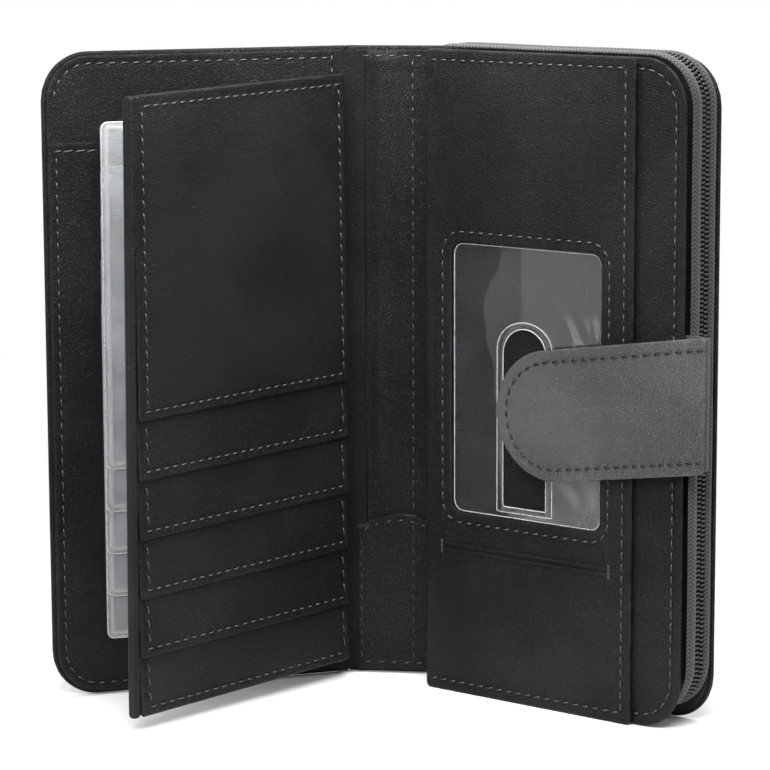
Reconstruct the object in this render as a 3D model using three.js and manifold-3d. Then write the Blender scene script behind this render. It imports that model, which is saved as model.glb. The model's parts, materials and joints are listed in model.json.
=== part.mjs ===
// A zip-around checkbook wallet, standing on its short edge and open like a book.
// Millimetres, +Z up, +X to the right, +Y away from the viewer.
// Five stiff leaves turn about upright fold lines: the zipped case, the spine, the
// front cover, the card flap and the closing strap. Every piece of a leaf is drawn flat
// in that leaf's own frame (x along the leaf, y up, z towards the inside of the book)
// and then stood in its place.
import * as THREE from "three";
import { mergeVertices } from "three/addons/utils/BufferGeometryUtils.js";
import Module from "manifold-3d";

const wasm = await Module();
wasm.setup();

// Whole wallet
const HEIGHT = 190;
const CORNER_R = 14;
const GAP = 0.3;
const SHELL = 1.4;
const LINING = 0.6;
const LEATHER = 1.0;
const END_WALL = 0.8;
const HEM_INSET = 1.2;

// How far the leaves stand open
const CASE_TURN = -38;
const SPINE_TURN = -8;
const COVER_TURN = 19;
const FLAP_TURN = 46;

// Lengths of the leaves, each from its own fold line
const SPINE_LENGTH = 31;
const COVER_LENGTH = 93;
const CASE_LENGTH = 93;
const INNER_PANEL_LENGTH = 91.3;
const BILL_POCKET_LENGTH = 75.6;

// Levels of the case, measured from the middle of the outer leather towards the inside
const LINING_LEVEL = SHELL / 2 + GAP;
const TAPE_LEVEL = LINING_LEVEL + LINING + GAP;
const CASE_FACE = 16.9;
const BILL_LEVEL = CASE_FACE - LEATHER;
const VINYL = 0.25;
const VINYL_LEVEL = BILL_LEVEL - GAP - VINYL;
const INNER_PANEL_LEVEL = VINYL_LEVEL - GAP - LEATHER;
const INNER_LINING_LEVEL = INNER_PANEL_LEVEL - GAP - LINING;
const TAPE_TOP = INNER_LINING_LEVEL - 2 * GAP;

// Clear of the spine when the book is shut
const FOLD_CLEAR = SHELL / 2 + GAP;
const STACK_CLEAR = 2.8;
const LINING_CLEAR = 2.2;

// Window, thumb slot and slit of the bill pocket, from the pocket's left edge
const WINDOW_MARGIN = 9.3;
const WINDOW_WIDTH = 52.5;
const WINDOW_LEFT = STACK_CLEAR + WINDOW_MARGIN;
const WINDOW_RIGHT = WINDOW_LEFT + WINDOW_WIDTH;
const WINDOW_BOTTOM = 54.5;
const WINDOW_TOP = 134.5;
const WINDOW_R = 3.5;
const VINYL_MARGIN = 5;
const THUMB_FROM_LEFT = 25.5;
const THUMB_CENTRE = WINDOW_LEFT + THUMB_FROM_LEFT;
const THUMB_HALF_WIDTH = 7.6;
const THUMB_TOP = 110.7;
const THUMB_BOTTOM = 58;
const SLIT_MARGIN = 6;
const SLIT_LENGTH = 59.2;
const SLIT_LEFT = STACK_CLEAR + SLIT_MARGIN;
const SLIT_RIGHT = SLIT_LEFT + SLIT_LENGTH;
const SLIT_HEIGHT = 43.8;
const SLIT_WIDTH = 0.8;

// Zip round the case: its line in the leaf's own frame
const ZIP_MARGIN = 3.8;
const ZIP_PROUD = 0.6;
const ZIP_PROUD_RIGHT = 1.1;
const ZIP_START = STACK_CLEAR + ZIP_MARGIN;
const ZIP_TOP = HEIGHT + ZIP_PROUD;
const ZIP_RIGHT = INNER_PANEL_LENGTH + ZIP_PROUD_RIGHT;
const ZIP_BOTTOM = 4.6;
const TAPE = 0.6;
const COIL_THICKNESS = 1.4;
const COIL_WIDTH = 1.3;
const COIL_GAP = 1.1;
const COIL_PITCH = 3;
const COIL_NOTCH = 0.45;
const COIL_MIDDLE = (TAPE_LEVEL + TAPE_TOP) / 2;

// Slider on the bottom run, and its pull
const SLIDER_START = 10;
const SLIDER_LENGTH = 8.6;
const SLIDER_WIDTH = 8.2;
const SLIDER_NOSE = 4.6;
const SLIDER_PLATE = 0.8;
const BAIL_SPAN = 3.8;
const BAIL_WIDTH = 1.2;
const PULL_LENGTH = 20;
const PULL_WIDTH = 5.4;
const PULL_BAR = 0.8;

// Closing strap: folded back over the window
const STRAP_WIDTH = 36;
const STRAP_LENGTH = 71;
const STRAP_LEAN = 4.5;
const STRAP_AXIS_X = 100.6;
const STRAP_AXIS_LEVEL = 19.1;
const STRAP_AXIS_HEIGHT = 96;
const STRAP_LINING = 0.8;
const STRAP_LINING_START = 7;
const STRAP_LINING_INSET = 0.6;
const ROOT_THICKNESS = 0.85;
const ROOT_TUCK = 4;
const ROOT_BEND = 2.4;
const ROOT_EASE = 3.4;
const ROOT_REACH = 1.3;
const ROOT_DROP = 0.9;
const STUD_RADIUS = 6;
const SOCKET_HEIGHT = 1.4;
const SOCKET_FROM_FOLD = 57.5;

// Spine pocket
const PEN_POCKET_EDGE = 45;
const PEN_POCKET_RISE = 4.5;

// Slip pocket and clear sleeves on the front cover
const SLIP_POCKET_TOP = 164;
const SLEEVES = 5;
const SLEEVE_HEIGHT = 102;
const SLEEVE_TOP = 168.5;
const SLEEVE_STEP = 12.8;
const SLEEVE_EDGE = 77;
const SLEEVE_R = 2.2;
const SLEEVE_FILM = 0.25;
const SLEEVE_LEVEL = 2.8;
const BINDING_START = STACK_CLEAR;
const BINDING_WIDTH = 1.5;
const BINDING_TOP = 5.3;

// Card flap, from its own fold line
const FLAP_AXIS_ALONG = 4.2;
const FLAP_AXIS_LEVEL = 6.2;
const FLAP_LENGTH = 88.6;
const FLAP_BOTTOM = 6;
const FLAP_TOP = 181;
const FLAP_RIM = 1.8;
const FLAP_START = 3;
const CARD_SLOTS = 5;
const SLOT_STEP = 16.9;
const SLOT_TUCK = 7;
const SLOT_LEATHER = 0.8;
const FIRST_SLOT = 90.5;

// Colours
const BLACK_LEATHER = 0x232325;
const STRAP_LEATHER = 0x2c2c2f;
const BLACK_CLOTH = 0x17171a;
const BLACK_NYLON = 0x101012;
const CLEAR_FILM = 0xc9d2d6;
const DARK_METAL = 0x6d6d70;

function finish(color, roughness, metalness = 0) {
  return new THREE.MeshStandardMaterial({ color, roughness, metalness });
}

function leather() {
  return finish(BLACK_LEATHER, 0.62);
}

function cloth() {
  return finish(BLACK_CLOTH, 0.9);
}

function film() {
  return finish(CLEAR_FILM, 0.15);
}

function metal() {
  return finish(DARK_METAL, 0.35, 1);
}

// A leaf: the point its fold line stands on, and its turn about the upright
function leaf(x, y, turn) {
  const angle = THREE.MathUtils.degToRad(turn);
  const along = new THREE.Vector3(Math.cos(angle), Math.sin(angle), 0);
  const up = new THREE.Vector3(0, 0, 1);
  const inward = new THREE.Vector3(Math.sin(angle), -Math.cos(angle), 0);
  const matrix = new THREE.Matrix4().makeBasis(along, up, inward);
  return matrix.setPosition(x, y, 0);
}

function pointOn(leafMatrix, along, level) {
  return new THREE.Vector3(along, 0, level).applyMatrix4(leafMatrix);
}

const spineLeaf = leaf(0, 0, SPINE_TURN);
const caseFold = pointOn(spineLeaf, SPINE_LENGTH, 0);
const caseLeaf = leaf(caseFold.x, caseFold.y, CASE_TURN);
const coverLeaf = leaf(0, 0, COVER_TURN);
const flapFold = pointOn(coverLeaf, -FLAP_AXIS_ALONG, FLAP_AXIS_LEVEL);
const flapLeaf = leaf(flapFold.x, flapFold.y, FLAP_TURN);

// The strap lies on the case, its fold line leaning a little to the left
function strapMatrix() {
  const lean = THREE.MathUtils.degToRad(2 * STRAP_LEAN);
  const local = new THREE.Matrix4().makeRotationZ(lean);
  local.setPosition(STRAP_AXIS_X, STRAP_AXIS_HEIGHT, STRAP_AXIS_LEVEL);
  return caseLeaf.clone().multiply(local);
}

const strapLeaf = strapMatrix();

// A flat plate: its outline lies in the leaf, its thickness runs inward
function plate(outline, level, thickness) {
  const settings = { depth: thickness, bevelEnabled: false, curveSegments: 8 };
  return new THREE.ExtrudeGeometry(outline, settings).translate(0, 0, level);
}

// An upright prism: its outline is (along, inward) and it stands from bottom to top
function upright(outline, bottom, top) {
  const settings = { depth: top - bottom, bevelEnabled: false, curveSegments: 8 };
  const geometry = new THREE.ExtrudeGeometry(outline, settings);
  return geometry.rotateX(Math.PI / 2).translate(0, top, 0);
}

// A prism along the leaf: its outline is (up, inward) and it runs from left to right
function lengthways(outline, left, right) {
  const settings = { depth: right - left, bevelEnabled: false, curveSegments: 8 };
  const geometry = new THREE.ExtrudeGeometry(outline, settings);
  const turn = new THREE.Matrix4().makeBasis(
    new THREE.Vector3(0, 1, 0),
    new THREE.Vector3(0, 0, 1),
    new THREE.Vector3(1, 0, 0),
  );
  return geometry.applyMatrix4(turn).translate(left, 0, 0);
}

// Outline with a radius of its own for the left and the right corners
function rounded(left, right, bottom, top, leftRadius, rightRadius) {
  const shape = new THREE.Shape();
  const quarter = Math.PI / 2;
  shape.moveTo(left + leftRadius, bottom);
  shape.lineTo(right - rightRadius, bottom);
  if (rightRadius > 0) {
    shape.absarc(right - rightRadius, bottom + rightRadius, rightRadius, -quarter, 0);
  }
  shape.lineTo(right, top - rightRadius);
  if (rightRadius > 0) {
    shape.absarc(right - rightRadius, top - rightRadius, rightRadius, 0, quarter);
  }
  shape.lineTo(left + leftRadius, top);
  if (leftRadius > 0) {
    shape.absarc(left + leftRadius, top - leftRadius, leftRadius, quarter, 2 * quarter);
  }
  shape.lineTo(left, bottom + leftRadius);
  if (leftRadius > 0) {
    shape.absarc(left + leftRadius, bottom + leftRadius, leftRadius, 2 * quarter, 3 * quarter);
  }
  return shape;
}

function polygon(points) {
  const shape = new THREE.Shape();
  shape.setFromPoints(points.map(([x, y]) => new THREE.Vector2(x, y)));
  return shape;
}

function toManifold(geometry) {
  const bare = geometry.clone();
  bare.deleteAttribute("normal");
  bare.deleteAttribute("uv");
  const merged = mergeVertices(bare, 1e-4);
  return new wasm.Manifold(new wasm.Mesh({
    numProp: 3,
    vertProperties: new Float32Array(merged.attributes.position.array),
    triVerts: new Uint32Array(merged.index.array),
  }));
}

function fromManifold(solid) {
  const mesh = solid.getMesh();
  const geometry = new THREE.BufferGeometry();
  geometry.setAttribute("position", new THREE.BufferAttribute(mesh.vertProperties, 3));
  geometry.setIndex(new THREE.BufferAttribute(mesh.triVerts, 1));
  geometry.computeVertexNormals();
  return geometry;
}

function join(...parts) {
  const solids = parts.map(toManifold);
  return fromManifold(solids.reduce((sum, part) => sum.add(part)));
}

function cut(body, ...tools) {
  const solids = tools.map(toManifold);
  return fromManifold(solids.reduce((rest, tool) => rest.subtract(tool), toManifold(body)));
}

const wallet = new THREE.Group();
wallet.name = "checkbook_wallet";

function place(name, geometry, leafMatrix, material) {
  const mesh = new THREE.Mesh(geometry.applyMatrix4(leafMatrix), material);
  mesh.name = name;
  wallet.add(mesh);
}

// Spine: outer leather with a round bead on each fold line, lining and pen pocket
function spineShell() {
  const bead = SHELL / 2;
  const shape = new THREE.Shape();
  shape.absarc(0, 0, bead, Math.PI / 2, 1.5 * Math.PI);
  shape.absarc(SPINE_LENGTH, 0, bead, -Math.PI / 2, Math.PI / 2);
  return upright(shape, 0, HEIGHT);
}

function spineLining() {
  const right = SPINE_LENGTH - LINING_CLEAR;
  const outline = rounded(LINING_CLEAR, right, HEM_INSET, HEIGHT - HEM_INSET, 0, 0);
  return plate(outline, LINING_LEVEL, LINING);
}

function penPocket() {
  const left = LINING_CLEAR + GAP;
  const right = SPINE_LENGTH - STACK_CLEAR;
  const shape = new THREE.Shape();
  shape.moveTo(left, HEM_INSET);
  shape.lineTo(right, HEM_INSET);
  shape.lineTo(right, PEN_POCKET_EDGE);
  const handle = PEN_POCKET_EDGE + 2 * PEN_POCKET_RISE;
  shape.quadraticCurveTo((left + right) / 2, handle, left, PEN_POCKET_EDGE);
  return plate(shape, LINING_LEVEL + LINING + GAP, LINING);
}

place("spine_shell", spineShell(), spineLeaf, leather());
place("spine_lining", spineLining(), spineLeaf, leather());
place("pen_pocket", penPocket(), spineLeaf, leather());

// Front cover: outer leather, lining and slip pocket, all with round free corners
function coverShell() {
  return plate(
    rounded(-COVER_LENGTH, -FOLD_CLEAR, 0, HEIGHT, CORNER_R, 0), -SHELL / 2, SHELL);
}

function coverLining() {
  const left = -COVER_LENGTH + HEM_INSET;
  const radius = CORNER_R - HEM_INSET;
  const top = HEIGHT - HEM_INSET;
  const outline = rounded(left, -LINING_CLEAR, HEM_INSET, top, radius, 0);
  return plate(outline, LINING_LEVEL, LINING);
}

function slipPocket() {
  const left = -COVER_LENGTH + HEM_INSET;
  const right = -BINDING_START;
  const radius = CORNER_R - HEM_INSET;
  const shape = new THREE.Shape();
  shape.moveTo(left + radius, HEM_INSET);
  shape.lineTo(right, HEM_INSET);
  shape.lineTo(right, SLIP_POCKET_TOP);
  shape.lineTo(left, SLIP_POCKET_TOP);
  shape.lineTo(left, HEM_INSET + radius);
  shape.absarc(left + radius, HEM_INSET + radius, radius, Math.PI, 1.5 * Math.PI);
  return plate(shape, LINING_LEVEL + LINING + GAP, LINING);
}

// One clear sleeve of the fanned set, the first one highest and nearest the flap
function sleeve(index) {
  const top = SLEEVE_TOP - index * SLEEVE_STEP;
  const right = -(BINDING_START + BINDING_WIDTH + GAP);
  const outline = rounded(-SLEEVE_EDGE, right, top - SLEEVE_HEIGHT, top, SLEEVE_R, 0);
  const level = SLEEVE_LEVEL + (SLEEVES - 1 - index) * (SLEEVE_FILM + GAP);
  return plate(outline, level, SLEEVE_FILM);
}

// The strip that the sleeves and the flap are sewn into, with a rounded top
function flapBinding() {
  const base = LINING_LEVEL + 2 * LINING + 2 * GAP;
  const left = -(BINDING_START + BINDING_WIDTH);
  const right = -BINDING_START;
  const half = BINDING_WIDTH / 2;
  const shape = new THREE.Shape();
  shape.moveTo(left, base);
  shape.lineTo(right, base);
  shape.lineTo(right, BINDING_TOP - half);
  shape.absarc((left + right) / 2, BINDING_TOP - half, half, 0, Math.PI);
  return upright(shape, FLAP_BOTTOM, FLAP_TOP);
}

// Hollow socket that the strap's stud snaps into, on the outer face of the cover
function snapSocket() {
  const bore = STUD_RADIUS - 3.4;
  const profile = [
    [bore, 0], [STUD_RADIUS, 0], [STUD_RADIUS, -0.5],
    [STUD_RADIUS - 1.6, -SOCKET_HEIGHT], [bore, -SOCKET_HEIGHT],
  ].map(([radius, level]) => new THREE.Vector2(radius, level));
  profile.push(profile[0].clone());
  const ring = new THREE.LatheGeometry(profile.reverse(), 28).rotateX(Math.PI / 2);
  return ring.translate(-SOCKET_FROM_FOLD, STRAP_AXIS_HEIGHT, -SHELL / 2 - GAP);
}

place("cover_shell", coverShell(), coverLeaf, leather());
place("cover_lining", coverLining(), coverLeaf, leather());
place("slip_pocket", slipPocket(), coverLeaf, leather());
for (let index = 0; index < SLEEVES; index += 1) {
  place(`sleeve_${index + 1}`, sleeve(index), coverLeaf, film());
}
place("flap_binding", flapBinding(), coverLeaf, leather());

// Zipped case: outer leather, lining, end wall, inner panel with its lining
function caseShell() {
  return plate(
    rounded(FOLD_CLEAR, CASE_LENGTH, 0, HEIGHT, 0, CORNER_R), -SHELL / 2, SHELL);
}

function caseLining() {
  const right = CASE_LENGTH - HEM_INSET;
  const radius = CORNER_R - HEM_INSET;
  const top = HEIGHT - HEM_INSET;
  const outline = rounded(LINING_CLEAR, right, HEM_INSET, top, 0, radius);
  return plate(outline, LINING_LEVEL, LINING);
}

function caseEndWall() {
  const right = STACK_CLEAR + END_WALL;
  const shape = rounded(STACK_CLEAR, right, TAPE_LEVEL, TAPE_TOP, 0, 0);
  return upright(shape, HEM_INSET, HEIGHT - HEM_INSET);
}

function innerPanel() {
  const outline = rounded(STACK_CLEAR, INNER_PANEL_LENGTH, 0, HEIGHT, 0, CORNER_R);
  return plate(outline, INNER_PANEL_LEVEL, LEATHER);
}

function innerPanelLining() {
  const inset = ROOT_TUCK;
  const right = INNER_PANEL_LENGTH - inset;
  const radius = CORNER_R - inset;
  const outline = rounded(STACK_CLEAR, right, inset, HEIGHT - inset, 0, radius);
  return plate(outline, INNER_LINING_LEVEL, LINING);
}

// Leather pocket with the window cut through it and the slit below
function billPocket() {
  const outline = rounded(STACK_CLEAR, BILL_POCKET_LENGTH, 0, HEIGHT, 1.5, 1.5);
  const windowOutline = rounded(
    WINDOW_LEFT, WINDOW_RIGHT, WINDOW_BOTTOM, WINDOW_TOP, WINDOW_R, WINDOW_R);
  const half = SLIT_WIDTH / 2;
  const slit = rounded(
    SLIT_LEFT, SLIT_RIGHT, SLIT_HEIGHT - half, SLIT_HEIGHT + half, half * 0.9, half * 0.9);
  outline.holes.push(windowOutline, slit);
  return plate(outline, BILL_LEVEL, LEATHER);
}

// Clear sheet behind the window, with its arch-topped thumb slot
function windowFilm() {
  const outline = rounded(
    WINDOW_LEFT - VINYL_MARGIN, WINDOW_RIGHT + VINYL_MARGIN,
    WINDOW_BOTTOM - VINYL_MARGIN, WINDOW_TOP + VINYL_MARGIN, 1, 1);
  const slot = new THREE.Path();
  const left = THUMB_CENTRE - THUMB_HALF_WIDTH;
  const right = THUMB_CENTRE + THUMB_HALF_WIDTH;
  slot.moveTo(left, THUMB_BOTTOM);
  slot.lineTo(right, THUMB_BOTTOM);
  slot.absarc(THUMB_CENTRE, THUMB_TOP - THUMB_HALF_WIDTH, THUMB_HALF_WIDTH, 0, Math.PI);
  slot.lineTo(left, THUMB_BOTTOM);
  outline.holes.push(slot);
  return plate(outline, VINYL_LEVEL, VINYL);
}

place("case_shell", caseShell(), caseLeaf, leather());
place("case_lining", caseLining(), caseLeaf, cloth());
place("case_end_wall", caseEndWall(), caseLeaf, leather());
place("inner_panel", innerPanel(), caseLeaf, leather());
place("inner_panel_lining", innerPanelLining(), caseLeaf, cloth());
place("bill_pocket", billPocket(), caseLeaf, leather());
place("window_film", windowFilm(), caseLeaf, film());

// The zip's line: along the top, round the free corner, down and back along the bottom.
// Gives the point and outward direction at a distance from the start.
const ZIP_CORNER = CORNER_R;
const ZIP_CORNER_ARC = ZIP_CORNER * Math.PI / 2;
const ZIP_SIDE = ZIP_TOP - ZIP_BOTTOM - 2 * ZIP_CORNER;

function zipPoint(distance, start) {
  const run = ZIP_RIGHT - ZIP_CORNER - start;
  const stations = [run, ZIP_CORNER_ARC, ZIP_SIDE, ZIP_CORNER_ARC, run];
  let rest = distance;
  let leg = 0;
  while (leg < 4 && rest > stations[leg]) {
    rest -= stations[leg];
    leg += 1;
  }
  const centreX = ZIP_RIGHT - ZIP_CORNER;
  const centreTop = ZIP_TOP - ZIP_CORNER;
  const centreBottom = ZIP_BOTTOM + ZIP_CORNER;
  if (leg === 0) {
    return { x: start + rest, y: ZIP_TOP, nx: 0, ny: 1 };
  }
  if (leg === 2) {
    return { x: ZIP_RIGHT, y: centreTop - rest, nx: 1, ny: 0 };
  }
  if (leg === 4) {
    return { x: centreX - rest, y: ZIP_BOTTOM, nx: 0, ny: -1 };
  }
  const swept = rest / ZIP_CORNER;
  const angle = leg === 1 ? Math.PI / 2 - swept : -swept;
  const nx = Math.cos(angle);
  const ny = Math.sin(angle);
  const centreY = leg === 1 ? centreTop : centreBottom;
  return { x: centreX + ZIP_CORNER * nx, y: centreY + ZIP_CORNER * ny, nx, ny };
}

function zipLength(start) {
  return 2 * (ZIP_RIGHT - ZIP_CORNER - start) + 2 * ZIP_CORNER_ARC + ZIP_SIDE;
}

// Distances along the zip's line: ends, corner ends and steps round the corners
function zipStations(start, steps) {
  const run = ZIP_RIGHT - ZIP_CORNER - start;
  const stations = [0];
  for (const cornerStart of [run, run + ZIP_CORNER_ARC + ZIP_SIDE]) {
    for (let step = 0; step <= steps; step += 1) {
      stations.push(cornerStart + ZIP_CORNER_ARC * step / steps);
    }
  }
  stations.push(zipLength(start));
  return stations;
}

// A band that follows the zip's line between two offsets
function zipBand(start, inner, outer, level, thickness) {
  const stations = zipStations(start, 8);
  const outside = stations.map((distance) => {
    const { x, y, nx, ny } = zipPoint(distance, start);
    return [x + nx * outer, y + ny * outer];
  });
  const inside = stations.map((distance) => {
    const { x, y, nx, ny } = zipPoint(distance, start);
    return [x + nx * inner, y + ny * inner];
  });
  return plate(polygon([...outside, ...inside.reverse()]), level, thickness);
}

// Half of the coil: a band with a notch between each tooth and the next
function zipCoil(level) {
  const start = ZIP_START + 3;
  const length = zipLength(start);
  const teeth = Math.round(length / COIL_PITCH);
  const pitch = length / teeth;
  const half = COIL_THICKNESS / 2;
  const outside = [];
  const inside = [];
  for (let tooth = 0; tooth < teeth; tooth += 1) {
    for (const [part, notch] of [[0.02, 0], [0.55, 0], [0.66, 1], [0.9, 1]]) {
      const { x, y, nx, ny } = zipPoint((tooth + part) * pitch, start);
      const reach = half - notch * COIL_NOTCH;
      outside.push([x + nx * reach, y + ny * reach]);
      if (part === 0.02) {
        inside.push([x - nx * half, y - ny * half]);
      }
    }
  }
  return plate(polygon([...outside, ...inside.reverse()]), level, COIL_WIDTH);
}

const BACK_COIL_LEVEL = COIL_MIDDLE - COIL_GAP / 2 - COIL_WIDTH;
const FRONT_COIL_LEVEL = COIL_MIDDLE + COIL_GAP / 2;

function zipTape(level, top) {
  return zipBand(ZIP_START, -TAPE / 2, TAPE / 2, level, top - level);
}

// Crimped stop on one coil's end, or across both
function zipStop(height, level, width) {
  const reach = COIL_THICKNESS / 2;
  return plate(
    rounded(ZIP_START + 0.8, ZIP_START + 2.6, height - reach, height + reach, 0.3, 0.3),
    level, width);
}

place("zip_tape_back", zipTape(TAPE_LEVEL, BACK_COIL_LEVEL - GAP), caseLeaf, cloth());
place("zip_tape_front", zipTape(FRONT_COIL_LEVEL + COIL_WIDTH + GAP, TAPE_TOP),
  caseLeaf, cloth());
place("zip_coil_back", zipCoil(BACK_COIL_LEVEL), caseLeaf, finish(BLACK_NYLON, 0.4));
place("zip_coil_front", zipCoil(FRONT_COIL_LEVEL), caseLeaf, finish(BLACK_NYLON, 0.4));
place("zip_stop_back", zipStop(ZIP_TOP, BACK_COIL_LEVEL, COIL_WIDTH), caseLeaf, metal());
place("zip_stop_front", zipStop(ZIP_TOP, FRONT_COIL_LEVEL, COIL_WIDTH), caseLeaf, metal());
place("zip_end_stop",
  zipStop(ZIP_BOTTOM, BACK_COIL_LEVEL, 2 * COIL_WIDTH + COIL_GAP), caseLeaf, metal());

// Slider: an inner and an outer plate with a blunt nose, lips that reach round the
// coils, a thin post between the coils and the bail that holds the pull
const OUTER_PLATE = ZIP_BOTTOM - COIL_THICKNESS / 2 - GAP - SLIDER_PLATE;
const INNER_PLATE = ZIP_BOTTOM + COIL_THICKNESS / 2 + GAP;
const LIP = 0.8;
const PULL_AXIS_X = SLIDER_START + SLIDER_LENGTH / 2;
const PULL_AXIS_HEIGHT = OUTER_PLATE - GAP - PULL_BAR / 2;
const BAIL_BAR = 0.8;

function sliderPlateOutline() {
  const left = SLIDER_START;
  const right = SLIDER_START + SLIDER_LENGTH;
  const bottom = COIL_MIDDLE - SLIDER_WIDTH / 2;
  const top = COIL_MIDDLE + SLIDER_WIDTH / 2;
  const noseBottom = COIL_MIDDLE - SLIDER_NOSE / 2;
  const noseTop = COIL_MIDDLE + SLIDER_NOSE / 2;
  const shoulder = left + SLIDER_LENGTH * 0.45;
  const shape = new THREE.Shape();
  shape.moveTo(left, bottom + 1);
  shape.quadraticCurveTo(left, bottom, left + 1, bottom);
  shape.lineTo(shoulder, bottom);
  shape.quadraticCurveTo(right, bottom + 0.4, right, noseBottom);
  shape.lineTo(right, noseTop);
  shape.quadraticCurveTo(right, top - 0.4, shoulder, top);
  shape.lineTo(left + 1, top);
  shape.quadraticCurveTo(left, top, left, top - 1);
  return shape;
}

function block(left, right, bottom, top, low, high) {
  return upright(rounded(left, right, low, high, 0, 0), bottom, top);
}

function sliderBody() {
  const right = SLIDER_START + SLIDER_LENGTH * 0.55;
  const left = SLIDER_START + 0.6;
  const lipHeight = COIL_THICKNESS / 2 - TAPE / 2;
  const parts = [
    upright(sliderPlateOutline(), OUTER_PLATE, OUTER_PLATE + SLIDER_PLATE),
    upright(sliderPlateOutline(), INNER_PLATE, INNER_PLATE + SLIDER_PLATE),
  ];
  for (const side of [-1, 1]) {
    const edge = COIL_MIDDLE + side * SLIDER_WIDTH / 2;
    const low = Math.min(edge, edge - side * LIP);
    const high = Math.max(edge, edge - side * LIP);
    const outerTop = OUTER_PLATE + SLIDER_PLATE + lipHeight;
    parts.push(block(left, right, OUTER_PLATE + 0.1, outerTop, low, high));
    parts.push(block(left, right, INNER_PLATE - lipHeight, INNER_PLATE + 0.1, low, high));
  }
  const postHalf = COIL_GAP / 2 - GAP;
  parts.push(block(SLIDER_START + 0.8, SLIDER_START + 3.4, OUTER_PLATE + 0.1,
    INNER_PLATE + 0.1, COIL_MIDDLE - postHalf, COIL_MIDDLE + postHalf));
  parts.push(bail());
  return join(...parts);
}

function bail() {
  const half = BAIL_SPAN / 2;
  const barTop = PULL_AXIS_HEIGHT - PULL_BAR / 2 - GAP;
  const barBottom = barTop - BAIL_BAR;
  const shape = polygon([
    [PULL_AXIS_X - half, OUTER_PLATE + 0.1],
    [PULL_AXIS_X - half, barBottom + 0.3],
    [PULL_AXIS_X - half + 0.3, barBottom],
    [PULL_AXIS_X + half - 0.3, barBottom],
    [PULL_AXIS_X + half, barBottom + 0.3],
    [PULL_AXIS_X + half, OUTER_PLATE + 0.1],
    [PULL_AXIS_X + half - BAIL_BAR, OUTER_PLATE + 0.1],
    [PULL_AXIS_X + half - BAIL_BAR, barTop],
    [PULL_AXIS_X - half + BAIL_BAR, barTop],
    [PULL_AXIS_X - half + BAIL_BAR, OUTER_PLATE + 0.1],
  ]);
  return plate(shape, COIL_MIDDLE - BAIL_WIDTH / 2, BAIL_WIDTH);
}

// Pull: a round bar through the bail, two side rails, and a tab with a rounded end
function pullTab() {
  const half = PULL_WIDTH / 2;
  const bar = PULL_BAR / 2;
  const holeHalf = BAIL_WIDTH / 2 + 0.5;
  const holeLength = 3.4;
  const barShape = new THREE.Shape();
  barShape.absarc(PULL_AXIS_X, PULL_AXIS_HEIGHT, bar, 0, 2 * Math.PI);
  const round = plate(barShape, COIL_MIDDLE - half, PULL_WIDTH);
  const flat = rounded(
    PULL_AXIS_X, PULL_AXIS_X + PULL_LENGTH, COIL_MIDDLE - half, COIL_MIDDLE + half, 0, 2);
  const slab = upright(flat, PULL_AXIS_HEIGHT - bar, PULL_AXIS_HEIGHT + bar);
  const hole = block(PULL_AXIS_X - 1, PULL_AXIS_X + holeLength,
    PULL_AXIS_HEIGHT - 1, PULL_AXIS_HEIGHT + 1,
    COIL_MIDDLE - holeHalf, COIL_MIDDLE + holeHalf);
  return join(cut(slab, hole), round);
}

place("zip_slider", sliderBody(), caseLeaf, metal());
place("zip_pull", pullTab(), caseLeaf, metal());

// Strap: a root sewn under the inner panel's edge, then the strap itself, drawn flat
// from its fold line towards its round end
function strapRoot() {
  const left = INNER_PANEL_LENGTH - ROOT_TUCK + GAP;
  const bottomLevel = INNER_PANEL_LEVEL - GAP - ROOT_THICKNESS;
  const bend = INNER_PANEL_LENGTH + ROOT_BEND;
  const endX = STRAP_AXIS_X - ROOT_REACH;
  const endLevel = STRAP_AXIS_LEVEL - ROOT_DROP;
  const side = ROOT_THICKNESS * 0.7;
  const shape = new THREE.Shape();
  shape.moveTo(left, bottomLevel);
  shape.lineTo(bend, bottomLevel);
  shape.quadraticCurveTo(
    bend + ROOT_EASE, bottomLevel + ROOT_THICKNESS, endX + side, endLevel - side);
  shape.lineTo(endX - side / 2, endLevel);
  shape.quadraticCurveTo(bend + ROOT_BEND, bottomLevel + 2 * ROOT_THICKNESS,
    bend - side, bottomLevel + ROOT_THICKNESS);
  shape.lineTo(left, bottomLevel + ROOT_THICKNESS);
  const half = STRAP_WIDTH / 2 - 1;
  return upright(shape, STRAP_AXIS_HEIGHT - half, STRAP_AXIS_HEIGHT + half);
}

function strapOutline(start, inset) {
  const half = STRAP_WIDTH / 2 - inset;
  const shape = new THREE.Shape();
  const centre = -STRAP_LENGTH + STRAP_WIDTH / 2;
  shape.moveTo(-start, half);
  shape.lineTo(centre, half);
  shape.absarc(centre, 0, half, Math.PI / 2, 1.5 * Math.PI);
  shape.lineTo(-start, -half);
  return shape;
}

function strapOuter() {
  const thickness = LEATHER;
  const flat = plate(strapOutline(0, 0), -thickness / 2, thickness);
  const bead = new THREE.CylinderGeometry(thickness / 2, thickness / 2, STRAP_WIDTH, 16);
  return join(flat, bead);
}

function strapLining() {
  const outline = strapOutline(STRAP_LINING_START, STRAP_LINING_INSET);
  return plate(outline, -LEATHER / 2 - GAP - STRAP_LINING, STRAP_LINING);
}

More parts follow.
